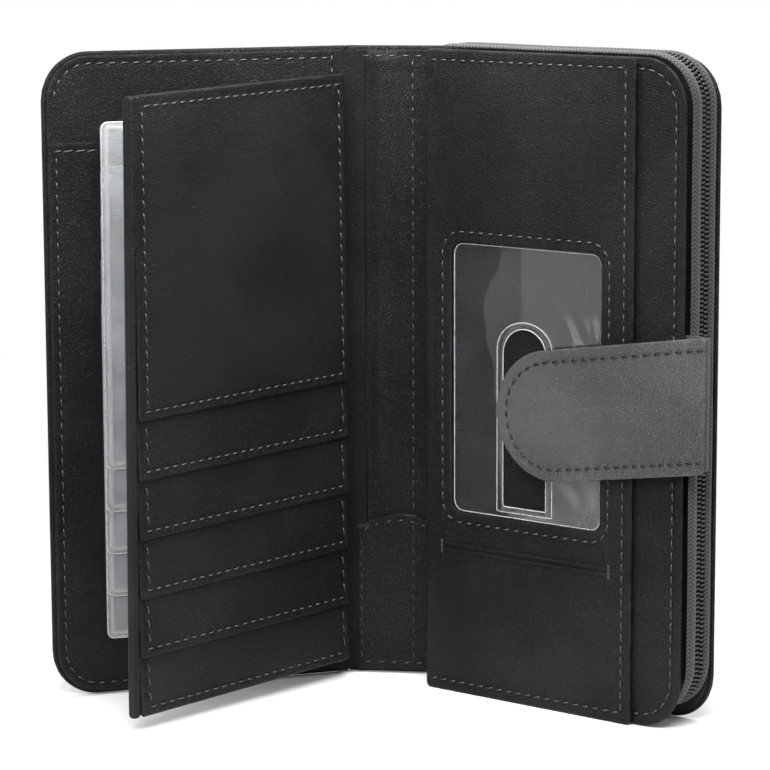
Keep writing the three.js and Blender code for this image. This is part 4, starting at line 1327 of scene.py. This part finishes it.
def build_bill_pocket():
    """The bill pocket as a ring round its window, with its seams and slit."""
    grid, _, _ = frame_grid(BILL, WINDOW, 3.2)
    x, y = grid[..., 0], grid[..., 1]
    rim = np.minimum(box_distance(x, y, *BILL), -box_distance(x, y, *WINDOW))
    roll = np.sqrt(np.clip(1 - (1 - np.clip(rim / 0.5, 0, 1)) ** 2, 0, 1))
    front = CASE.stand(x, y, bill_front(x, y))
    back = CASE.stand(x, y, BILL_LEVEL - 0.5 * roll)
    points, faces = closed_ring(front, back)
    near = np.exp(-np.maximum(rim, 0) / 0.7)
    near = np.concatenate([near.ravel(), near[:, 1:-1].ravel()])
    make_piece("bill_pocket_panel", points, faces, pocket_leather(), "case",
               ["bill_pocket"], edge=near)
    border = outline(*BILL[:4], [4.0] * 4, 3.1)[:20]
    border = np.concatenate([[[4.0, 3.1]], border, [[4.0, HEIGHT - 3.1]]])
    window = window_loop(3.0, 40)
    window = np.concatenate([window, window[:1]])
    stitching("bill_pocket_stitches", CASE, [(border, bill_front), (window, bill_front)],
              stitch_pitch())
    build_slit()


def build_slit():
    """A bound slit: two thin lips that meet, each a half-round bead along the slit, with a
    dark bead of painted shade between them and a bar tack across each end."""
    run = SLIT_LEFT + spread(SLIT_RIGHT - SLIT_LEFT, 3.0)
    angle = np.radians(np.linspace(0, 360, 11)[:-1])
    from_end = np.minimum(run - SLIT_LEFT, SLIT_RIGHT - run)
    taper = np.sqrt(np.clip(from_end / 1.2, 0.02, 1))[:, None]
    across = np.cos(angle)[None, :] * taper
    up = np.sin(angle)[None, :] * taper
    waver = 0.1 * np.sin(run / 6.0)[:, None]

    def bead(name, y, level_y, lift, height, material):
        """One round bead along the slit, on the pocket's front at level_y."""
        z = (bill_front(run, np.full_like(run, level_y)) + lift)[:, None] + height * up
        x = np.broadcast_to(run[:, None], y.shape)
        points, faces = swept(CASE.stand(x, y, z))
        make_piece(name, points, faces, material, "case")

    for side, title in ((1, "upper"), (-1, "lower")):
        y = SLIT_HEIGHT + side * (0.85 + 0.62 * across + waver)
        bead(f"slit_{title}_lip", y, SLIT_HEIGHT + side * 1.2, 0.05, 0.34, body_leather())
    # the bead between the lips is painted shade: a dark bead in the darkened leather copy where
    # the slit lies in shadow
    bead("slit_shadow", SLIT_HEIGHT + 0.3 * across, SLIT_HEIGHT, 0.08, 0.16,
         shaded_crease_leather())
    tacks = [bar_tack(end, SLIT_HEIGHT, 4.2, 16.95) for end in (SLIT_LEFT, SLIT_RIGHT)]
    stitching("slit_bar_tacks", CASE, tacks, 0.5, slant=82.0, share=2.8, radius=0.2)


def thumb_loop():
    """Outline of the thumb slot, anticlockwise from its bottom right corner."""
    arch = np.radians(np.linspace(0, 180, 25))
    top = np.stack([THUMB_X + THUMB_RADIUS * np.cos(arch),
                    THUMB_ARCH + THUMB_RADIUS * np.sin(arch)], axis=-1)
    right = [[THUMB_X + THUMB_RADIUS, THUMB_FOOT]]
    left = [[THUMB_X - THUMB_RADIUS, THUMB_FOOT]]
    return np.concatenate([right, top, left])


def build_window():
    """The window's film: columns run from the thumb slot's rim out to the film's edge,
    with a raised weld round the slot."""
    slot = densify(thumb_loop(), 3.0)
    centre = np.array([THUMB_X, THUMB_MIDDLE])
    left, right, bottom, top = FILM
    away = slot - centre
    reach_x = np.where(away[:, 0] > 0, right - THUMB_X, THUMB_X - left)
    reach_y = np.where(away[:, 1] > 0, top - THUMB_MIDDLE, THUMB_MIDDLE - bottom)
    scale = np.minimum(reach_x / np.maximum(np.abs(away[:, 0]), 1e-6),
                       reach_y / np.maximum(np.abs(away[:, 1]), 1e-6))
    far = centre + away * scale[:, None]
    gap = np.linalg.norm(far - slot, axis=1)
    steps = np.array([0, 0.15, 0.5, 0.9, 1.3, 1.7, 2.1, 2.6, 3.2])
    wide = gap[:, None] - steps[-1]
    out = steps[-1] + np.linspace(0, 1, 12)[None, 1:] * wide
    first = np.broadcast_to(steps, (len(gap), len(steps)))
    reach = np.concatenate([first, out], axis=1)
    share = (reach / gap[:, None])[..., None]
    grid = slot[:, None, :] * (1 - share) + far[:, None, :] * share
    x, y = grid[..., 0], grid[..., 1]
    weld = np.exp(-((reach - 1.3) / 0.5) ** 2)
    bulge = 0.12 * undulation(x, y, 0.5, 15.0) * smooth_step(reach / 8)
    front = 15.6 + 0.16 * weld + np.maximum(bulge, -0.1)
    back = np.full_like(front, 15.36)
    back[:, 0] = front[:, 0] = 15.48
    points, faces = closed_ring(CASE.stand(x, y, front), CASE.stand(x, y, back))
    near = np.maximum(0.35 * weld, 0.5 * np.exp(-reach / 0.25))
    near = np.concatenate([near.ravel(), near[:, 1:-1].ravel()])
    film = make_piece("window_vinyl", points, faces, window_film_material(),
                      "case", ["window_film"], edge=near)
    across = MM * np.concatenate([x.ravel(), x[:, 1:-1].ravel()])
    attribute = film.data.attributes.new("across", "FLOAT", "POINT")
    attribute.data.foreach_set("value", across.astype(np.float32))
    build_window_welds()


def build_window_welds():
    """Double weld round the thumb slot and the line where the film meets the leather."""
    slot = thumb_loop()
    centre = np.array([THUMB_X, THUMB_MIDDLE])
    wide = (slot - centre) * [9.7 / 7.6, 30.6 / 28.7] + centre
    frame_line = outline(*WINDOW[:4], [WINDOW[4]] * 4, 0.45)
    frame_line = np.concatenate([frame_line, frame_line[:1]])
    loops = [np.concatenate([loop, loop[:1]]) for loop in (slot, wide)]
    weld_beads("thumb_slot_weld", CASE, loops, 15.64, 0.15)
    weld_beads("window_frame_weld", CASE, [frame_line], 15.72, 0.13)


def build_gusset():
    """Wall along the spine: it is dented by half a sine wave across its depth, and
    wavers by a sine of the height."""
    rows = 1.2 + spread(HEIGHT - 2.4, 6.0)
    level = np.linspace(GUSSET_LOW, GUSSET_HIGH, 13)
    share = (level - GUSSET_LOW) / (GUSSET_HIGH - GUSSET_LOW)
    dent = 0.5 * np.sin(np.pi * share)
    x = GUSSET_X + dent[None, :] + 0.1 * np.sin(rows / 9.0)[:, None]
    middle = CASE.stand(x, rows[:, None], level[None, :])
    points, faces = thick_strip(middle, GUSSET_THICKNESS)
    make_piece("case_gusset", points, faces, body_leather(), "case",
               ["case_end_wall"])


def build_case():
    """The zip compartment's leathers, their seams and the lining inside."""
    outer = Panel(CASE, 0.95, CASE_LENGTH, 0, HEIGHT, (0, CORNER, CORNER, 0), level=-0.7,
                  thickness=1.4, roll=0.7, swell=0.0, wave=0.0, furrow=0.0)
    panel_piece("case_outer", outer, body_leather(), replaced=["case_shell"])
    inner = Panel(CASE, 2.8, INNER_LENGTH, 0, HEIGHT, (0, CORNER, CORNER, 0), level=14.05,
                  thickness=1.0, roll=0.6, seam=3.3, swell=0.2, wave=0.1, phase=3.0)
    panel_piece("inner_panel_leather", inner, pocket_leather(), replaced=["inner_panel"])
    stitching("inner_panel_stitches", CASE, [seam_of(inner, "left")], stitch_pitch())
    seam = outline(outer.left, outer.right, 0, HEIGHT, outer.radii, 3.5)
    outside = np.concatenate([[[outer.left, 3.5]], seam[:20], [[outer.left, HEIGHT - 3.5]]])
    stitching("case_outer_stitches", CASE, [(outside, flat_level(-0.72))], 3.5,
              radius=0.28, slant=-9.0)
    build_gusset()
    dress("case_lining", lining_cloth())
    dress("inner_panel_lining", lining_cloth())


ZIP_START = 6.6
ZIP_TOP = 190.6
ZIP_RIGHT = 92.4
ZIP_BOTTOM = 4.6
COIL_MIDDLE = 7.225


def zip_line(step, start=ZIP_START):
    """Points and outward directions along the zip: over the top, round the free
    corners and back along the bottom."""
    path = [[start, ZIP_TOP]]
    path += corner_arc(ZIP_RIGHT - CORNER, ZIP_TOP - CORNER, CORNER, 0, 17)[::-1].tolist()
    path += corner_arc(ZIP_RIGHT - CORNER, ZIP_BOTTOM + CORNER, CORNER, 270, 17)[::-1].tolist()
    path += [[start, ZIP_BOTTOM]]
    path = np.array(path)
    length = line_length(path)
    distance = np.linspace(0, length, max(2, int(round(length / step)) + 1))
    point, ahead = along_line(path, distance)
    outward = np.stack([-ahead[:, 1], ahead[:, 0]], axis=-1)
    return distance, point, outward


def zip_tape(name, low, high, replaced):
    """Tape beside the coil: a thin ribbon across the gap from the panel to the coil,
    bowed out a little, with its own weave direction."""
    distance, point, outward = zip_line(1.6)
    level = low + spread(high - low, 0.6)
    share = (level - low) / (high - low)
    bow = 0.6 * np.sin(np.pi * share)[None, :] + 0.05 * np.sin(distance / 7.0)[:, None]
    x = point[:, 0][:, None] + outward[:, 0][:, None] * bow
    y = point[:, 1][:, None] + outward[:, 1][:, None] * bow
    middle = CASE.stand(x, y, np.broadcast_to(level, x.shape))
    points, faces = thick_strip(middle, 0.5)
    piece = make_piece(name, points, faces, tape_cloth(), "case", [replaced])
    weave = np.zeros((len(distance), len(level), 3))
    weave[..., 0] = MM * distance[:, None]
    weave[..., 1] = MM * level[None, :]
    both = np.concatenate([weave.reshape(-1, 3), weave[1:-1, 1:-1].reshape(-1, 3)])
    attribute = piece.data.attributes.new("weave", "FLOAT_VECTOR", "POINT")
    attribute.data.foreach_set("vector", both.astype(np.float32).ravel())


def zip_teeth(name, base, tip, shift, replaced):
    """Coil teeth: short round bars across the zip, arched and thicker at the tip."""
    tooth_pitch = round(look().tooth_pitch / MM, 3)
    distance, point, outward = zip_line(tooth_pitch, ZIP_START + 3.0)
    keep = slice(shift, None, 2)
    point, outward = point[keep], outward[keep]
    ahead = np.stack([outward[:, 1], -outward[:, 0]], axis=-1)
    t = np.array([0.0, 0.12, 0.5, 0.85, 1.0])
    girth = np.array([0.15, 0.3, 0.33, 0.4, 0.2])
    lift = np.array([-0.2, 0.15, 0.32, 0.2, 0.0])
    angle = np.radians(np.linspace(0, 360, 8)[:-1])
    side = girth[:, None] * np.cos(angle)[None, :]
    rise = girth[:, None] * np.sin(angle)[None, :] + lift[:, None]
    level = np.broadcast_to((base + t * (tip - base))[:, None], side.shape)
    x = (point[:, 0, None, None] + side * ahead[:, 0, None, None]
         + rise * outward[:, 0, None, None])
    y = (point[:, 1, None, None] + side * ahead[:, 1, None, None]
         + rise * outward[:, 1, None, None])
    z = np.broadcast_to(level, x.shape)
    points = CASE.stand(x, y, z).reshape(-1, 3)
    rows, columns = side.shape
    number = np.arange(rows * columns).reshape(rows, columns)
    once = quads(np.concatenate([number, number[:, :1]], axis=1))
    faces = np.concatenate([once + rows * columns * k for k in range(len(point))])
    make_piece(name, points, faces, coil_nylon(), "case", [replaced])


def build_zip():
    """The zip's two tapes and rows of teeth, and the metal pieces of the solids."""
    zip_tape("zip_tape_cloth_back", 1.9, 5.0, "zip_tape_back")
    zip_tape("zip_tape_cloth_front", 9.4, 13.5, "zip_tape_front")
    zip_teeth("zip_teeth_back", 5.0, COIL_MIDDLE - 0.3, 0, "zip_coil_back")
    zip_teeth("zip_teeth_front", 9.4, COIL_MIDDLE + 0.3, 1, "zip_coil_front")
    for node in ("zip_stop_back", "zip_stop_front", "zip_end_stop", "zip_slider",
                 "zip_pull", "snap_socket", "strap_stud"):
        dress(node, dark_metal())


def build_strap():
    """The strap's two leathers, its seam and its loop."""
    top = Panel(STRAP, -71.0, 0.4, -19.8, 18.2, (18.9, 1.2, 1.2, 18.9), level=-0.5,
                thickness=1.0, roll=0.5, seam=3.6, furrow=0.2, swell=0.4, wave=0.14,
                phase=4.0)
    panel_piece("strap_leather_top", top, strap_leather(),
                ["strap_outer"])
    under = Panel(STRAP, -70.4, -7.0, -19.2, 17.6, (18.3, 0, 0, 18.3), level=-1.6,
                  thickness=0.8, roll=0.35, furrow=0.0, swell=0.0, wave=0.0)
    panel_piece("strap_under_side", under, body_leather(),
                ["strap_lining"])
    line = seam_line(top, 3.5, "right")
    # the strap's stitches use a darker copy of the thread, 0.35 of its colour: painted shade for
    # the thread sunk in the strap's seam
    stitching("strap_stitches", STRAP, [(line, top.front)], 3.3,
              thread_material("Shaded Strap Thread", 0.3, 0.35))
    build_strap_loop()


def build_strap_loop():
    """Leather from under the inner panel's edge round to the strap's fold: a cubic curve
    from a straight row on the case to a row on the leaning strap."""
    across = -19.0 + spread(36.6, 3.0)
    root = CASE.stand(88.2, 96.0 + across, 13.3)
    out = CASE.stand(97.5, 96.0 + across, 13.0)
    turn = STRAP.stand(0.9, across, -3.6)
    end = STRAP.stand(-0.2, across, -0.3)
    middle = bezier(root, out, turn, end, 19)
    points, faces = thick_strip(middle, 0.85)
    piece = make_piece("strap_loop", points, faces, strap_leather(),
                       None, ["strap_root"])
    start = CASE.stand(99.5, 96.0, 14.8)
    stop = CASE.stand(99.5, 96.0, 18.3)
    tuple(start)
    tuple(stop)
    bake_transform(piece)


# Camera: fitted to the outline of the leaves in the photograph
CAMERA_PITCH = 9.438
CAMERA_ROLL = -0.21
CAMERA_DISTANCE = 904.956
CAMERA_TARGET = (2.403, 0.0, 94.985)
LENS = 147.16


def studio_material(name):
    """Pale paper that takes the object's shadow and fades into the white world away
    from it, so that no horizon shows."""
    material, t, shader = new_material(name, Roughness=0.85, Specular_IOR_Level=0.1)
    if t is None:
        return material
    reach = t.node("ShaderNodeVectorMath", operation="LENGTH")
    t.link(t.node("ShaderNodeTexCoord").outputs["Object"], reach.inputs[0])
    t.link(t.ramp(reach.outputs["Value"], 0.11, 0.30, True), shader.inputs["Alpha"])
    place = t.node("ShaderNodeTexCoord").outputs["Object"]
    paper = t.node("ShaderNodeTexNoise", Scale=40.0, Detail=3.0)
    t.link(place, paper.inputs["Vector"])
    t.link(t.mix(paper.outputs["Fac"], (0.90, 0.90, 0.90, 1.0), (0.92, 0.92, 0.92, 1.0)),
           shader.inputs["Base Color"])
    return material


def area_light(name, place, target, size, power):
    """A rectangular lamp at a place, turned to a target. Power is in watts."""
    lamp = bpy.data.lights.new(name, "AREA")
    lamp.shape = "RECTANGLE"
    lamp.size, lamp.size_y = size
    lamp.energy = power
    light = bpy.data.objects.new(name, lamp)
    direction = Vector(target) - Vector(place)
    light.rotation_euler = direction.to_track_quat("-Z", "Y").to_euler()
    light.location = place
    bpy.context.scene.collection.objects.link(light)
    return light


def build_camera():
    """The camera that was fitted to the leaves."""
    pitch, roll = math.radians(CAMERA_PITCH), math.radians(CAMERA_ROLL)
    forward = Vector((0.0, math.cos(pitch), -math.sin(pitch)))
    up = Vector((0.0, math.sin(pitch), math.cos(pitch)))
    right = Vector((1.0, 0.0, 0.0))
    rolled_right = math.cos(roll) * right + math.sin(roll) * up
    rolled_up = -math.sin(roll) * right + math.cos(roll) * up
    place = MM * (Vector(CAMERA_TARGET) - CAMERA_DISTANCE * forward)
    data = bpy.data.cameras.new("camera")
    data.lens, data.sensor_width, data.sensor_fit = LENS, 36.0, "HORIZONTAL"
    camera = bpy.data.objects.new("camera", data)
    turn = Matrix((rolled_right, rolled_up, -forward)).transposed()
    camera.matrix_world = Matrix.Translation(place) @ turn.to_4x4()
    bpy.context.scene.collection.objects.link(camera)
    bpy.context.scene.camera = camera


def build_stage():
    """Floor, camera, lamps and a white world."""
    size = 3.0
    mesh = bpy.data.meshes.new("floor")
    ring = [(-size, -size, -0.0002), (size, -size, -0.0002), (size, size, -0.0002),
            (-size, size, -0.0002)]
    mesh.from_pydata(ring, [], [(0, 1, 2, 3)])
    mesh.materials.append(studio_material("Studio Floor"))
    floor = bpy.data.objects.new("floor", mesh)
    bpy.context.scene.collection.objects.link(floor)
    build_camera()
    area_light("overhead_softbox", (0.05, 0.05, 0.95), (0.0, 0.0, 0.1), (0.9, 0.9), 8.0)
    area_light("front_softbox", (-0.3, -0.7, 0.5), (0.0, 0.0, 0.13), (0.3, 0.3), 3.5)
    area_light("top_softbox", (0.02, -0.36, 0.37), (0.0, 0.03, 0.17), (0.3, 0.1), 2.4)
    area_light("cover_softbox", (0.0, -0.03, 0.27), (-0.02, 0.03, 0.175), (0.2, 0.03), 0.5)
    area_light("left_fill", (-0.8, -0.5, 0.5), (0.05, 0.0, 0.1), (0.5, 0.5), 2.0)
    area_light("right_fill", (0.9, -0.4, 0.5), (0.0, 0.0, 0.1), (0.4, 0.4), 1.5)
    world = bpy.data.worlds.new("studio")
    world.use_nodes = True
    bpy.context.scene.world = world
    t = Tree(world.node_tree)
    background = next(n for n in world.node_tree.nodes if n.type == "BACKGROUND")
    path = t.node("ShaderNodeLightPath")
    seen = t.sum("MAXIMUM", path.outputs["Is Camera Ray"],
                 t.sum("MAXIMUM", path.outputs["Is Glossy Ray"],
                       path.outputs["Is Transmission Ray"]))
    background.inputs["Color"].default_value = (1.0, 1.0, 1.0, 1.0)
    t.link(t.sum("MULTIPLY_ADD", seen, 0.7, 0.3), background.inputs["Strength"])
    bpy.context.scene.view_settings.view_transform = "Standard"


class WalletLook(bpy.types.PropertyGroup):
    """Colours, stitch length and tooth spacing of the wallet."""

    stitch_pitch: FloatProperty(
        name="Stitch Pitch", description="Distance from one stitch to the next",
        default=0.0034, min=0.002, max=0.01, precision=5, unit="LENGTH")
    tooth_pitch: FloatProperty(
        name="Tooth Pitch", description="Distance from one zip tooth to the next",
        default=0.00066, min=0.0004, max=0.003, precision=5, unit="LENGTH")
    leather_color: FloatVectorProperty(
        name="Leather", description="Colour of the body leather", subtype="COLOR",
        default=(0.0034, 0.0034, 0.0042), min=0.0, max=1.0)
    # strap colour: its own greyer tone, lightened further as painted sheen
    strap_color_and_sheen: FloatVectorProperty(
        name="Strap", description="Colour of the closing strap", subtype="COLOR",
        default=(0.043, 0.043, 0.047), min=0.0, max=1.0)
    thread_color: FloatVectorProperty(
        name="Thread", description="Colour of the sewing thread", subtype="COLOR",
        default=(0.007, 0.007, 0.008), min=0.0, max=1.0)
    film_color: FloatVectorProperty(
        name="Vinyl", description="Colour of the clear sleeves and window", subtype="COLOR",
        default=(0.90, 0.92, 0.95), min=0.0, max=1.0)
    cloth_color: FloatVectorProperty(
        name="Cloth", description="Colour of the zip tape and the lining", subtype="COLOR",
        default=(0.010, 0.010, 0.011), min=0.0, max=1.0)
    metal_color: FloatVectorProperty(
        name="Metal", description="Colour of the slider, stops and snap", subtype="COLOR",
        default=(0.16, 0.16, 0.165), min=0.0, max=1.0)


class WALLET_OT_stage(bpy.types.Operator):
    """Add the floor, lamps, camera and white world"""

    bl_idname = "wallet.stage"
    bl_label = "Studio"

    def execute(self, context):
        build_stage()
        return {"FINISHED"}


class WALLET_OT_cover(bpy.types.Operator):
    """Add the front cover with its slip pocket"""

    bl_idname = "wallet.cover"
    bl_label = "Cover"

    def execute(self, context):
        build_cover()
        return {"FINISHED"}


class WALLET_OT_sleeves(bpy.types.Operator):
    """Add the clear staggered sleeves"""

    bl_idname = "wallet.sleeves"
    bl_label = "Sleeves"

    def execute(self, context):
        build_sleeves()
        return {"FINISHED"}


class WALLET_OT_flap(bpy.types.Operator):
    """Add the swinging flap with its card slots"""

    bl_idname = "wallet.flap"
    bl_label = "Card Flap"

    def execute(self, context):
        build_flap()
        return {"FINISHED"}


class WALLET_OT_binding(bpy.types.Operator):
    """Add the bound edge that the sleeves and the flap hang by"""

    bl_idname = "wallet.binding"
    bl_label = "Binding"

    def execute(self, context):
        build_binding()
        return {"FINISHED"}


class WALLET_OT_spine(bpy.types.Operator):
    """Add the spine, its lining and its pen pocket"""

    bl_idname = "wallet.spine"
    bl_label = "Spine"

    def execute(self, context):
        build_spine()
        return {"FINISHED"}


class WALLET_OT_folds(bpy.types.Operator):
    """Add the leather across the fold lines"""

    bl_idname = "wallet.folds"
    bl_label = "Folds"

    def execute(self, context):
        build_folds()
        return {"FINISHED"}


class WALLET_OT_case(bpy.types.Operator):
    """Add the zip compartment's leathers"""

    bl_idname = "wallet.case"
    bl_label = "Zip Case"

    def execute(self, context):
        build_case()
        return {"FINISHED"}


class WALLET_OT_bill_pocket(bpy.types.Operator):
    """Add the bill pocket with its window and slit"""

    bl_idname = "wallet.bill_pocket"
    bl_label = "Bill Pocket"

    def execute(self, context):
        build_bill_pocket()
        return {"FINISHED"}


class WALLET_OT_window(bpy.types.Operator):
    """Add the clear window with its thumb slot"""

    bl_idname = "wallet.window"
    bl_label = "Window"

    def execute(self, context):
        build_window()
        return {"FINISHED"}


class WALLET_OT_zipper(bpy.types.Operator):
    """Add the zip's tape and coil, and dress its metal parts"""

    bl_idname = "wallet.zipper"
    bl_label = "Zip"

    def execute(self, context):
        build_zip()
        return {"FINISHED"}


class WALLET_OT_strap(bpy.types.Operator):
    """Add the closing strap and its loop"""

    bl_idname = "wallet.strap"
    bl_label = "Strap"

    def execute(self, context):
        build_strap()
        return {"FINISHED"}


OPERATORS = [
    WALLET_OT_stage,
    WALLET_OT_cover,
    WALLET_OT_sleeves,
    WALLET_OT_flap,
    WALLET_OT_binding,
    WALLET_OT_spine,
    WALLET_OT_folds,
    WALLET_OT_case,
    WALLET_OT_bill_pocket,
    WALLET_OT_window,
    WALLET_OT_zipper,
    WALLET_OT_strap,
]


class WALLET_PT_sidebar(bpy.types.Panel):
    """Sidebar with the wallet's colours and builders."""

    bl_label = "Checkbook Wallet"
    bl_idname = "WALLET_PT_sidebar"
    bl_space_type = "VIEW_3D"
    bl_region_type = "UI"
    bl_category = "Wallet"

    def draw(self, context):
        for name in WalletLook.__annotations__:
            self.layout.prop(context.scene.wallet_look, name)
        for builder in OPERATORS:
            self.layout.operator(builder.bl_idname)


CLASSES = [WalletLook, *OPERATORS, WALLET_PT_sidebar]


def register():
    for cls in CLASSES:
        bpy.utils.register_class(cls)
    bpy.types.Scene.wallet_look = PointerProperty(type=WalletLook)


def unregister():
    del bpy.types.Scene.wallet_look
    for cls in reversed(CLASSES):
        bpy.utils.unregister_class(cls)


def main():
    register()
    for builder in OPERATORS:
        category, name = builder.bl_idname.split(".")
        getattr(getattr(bpy.ops, category), name)()


if __name__ == "__main__":
    main()
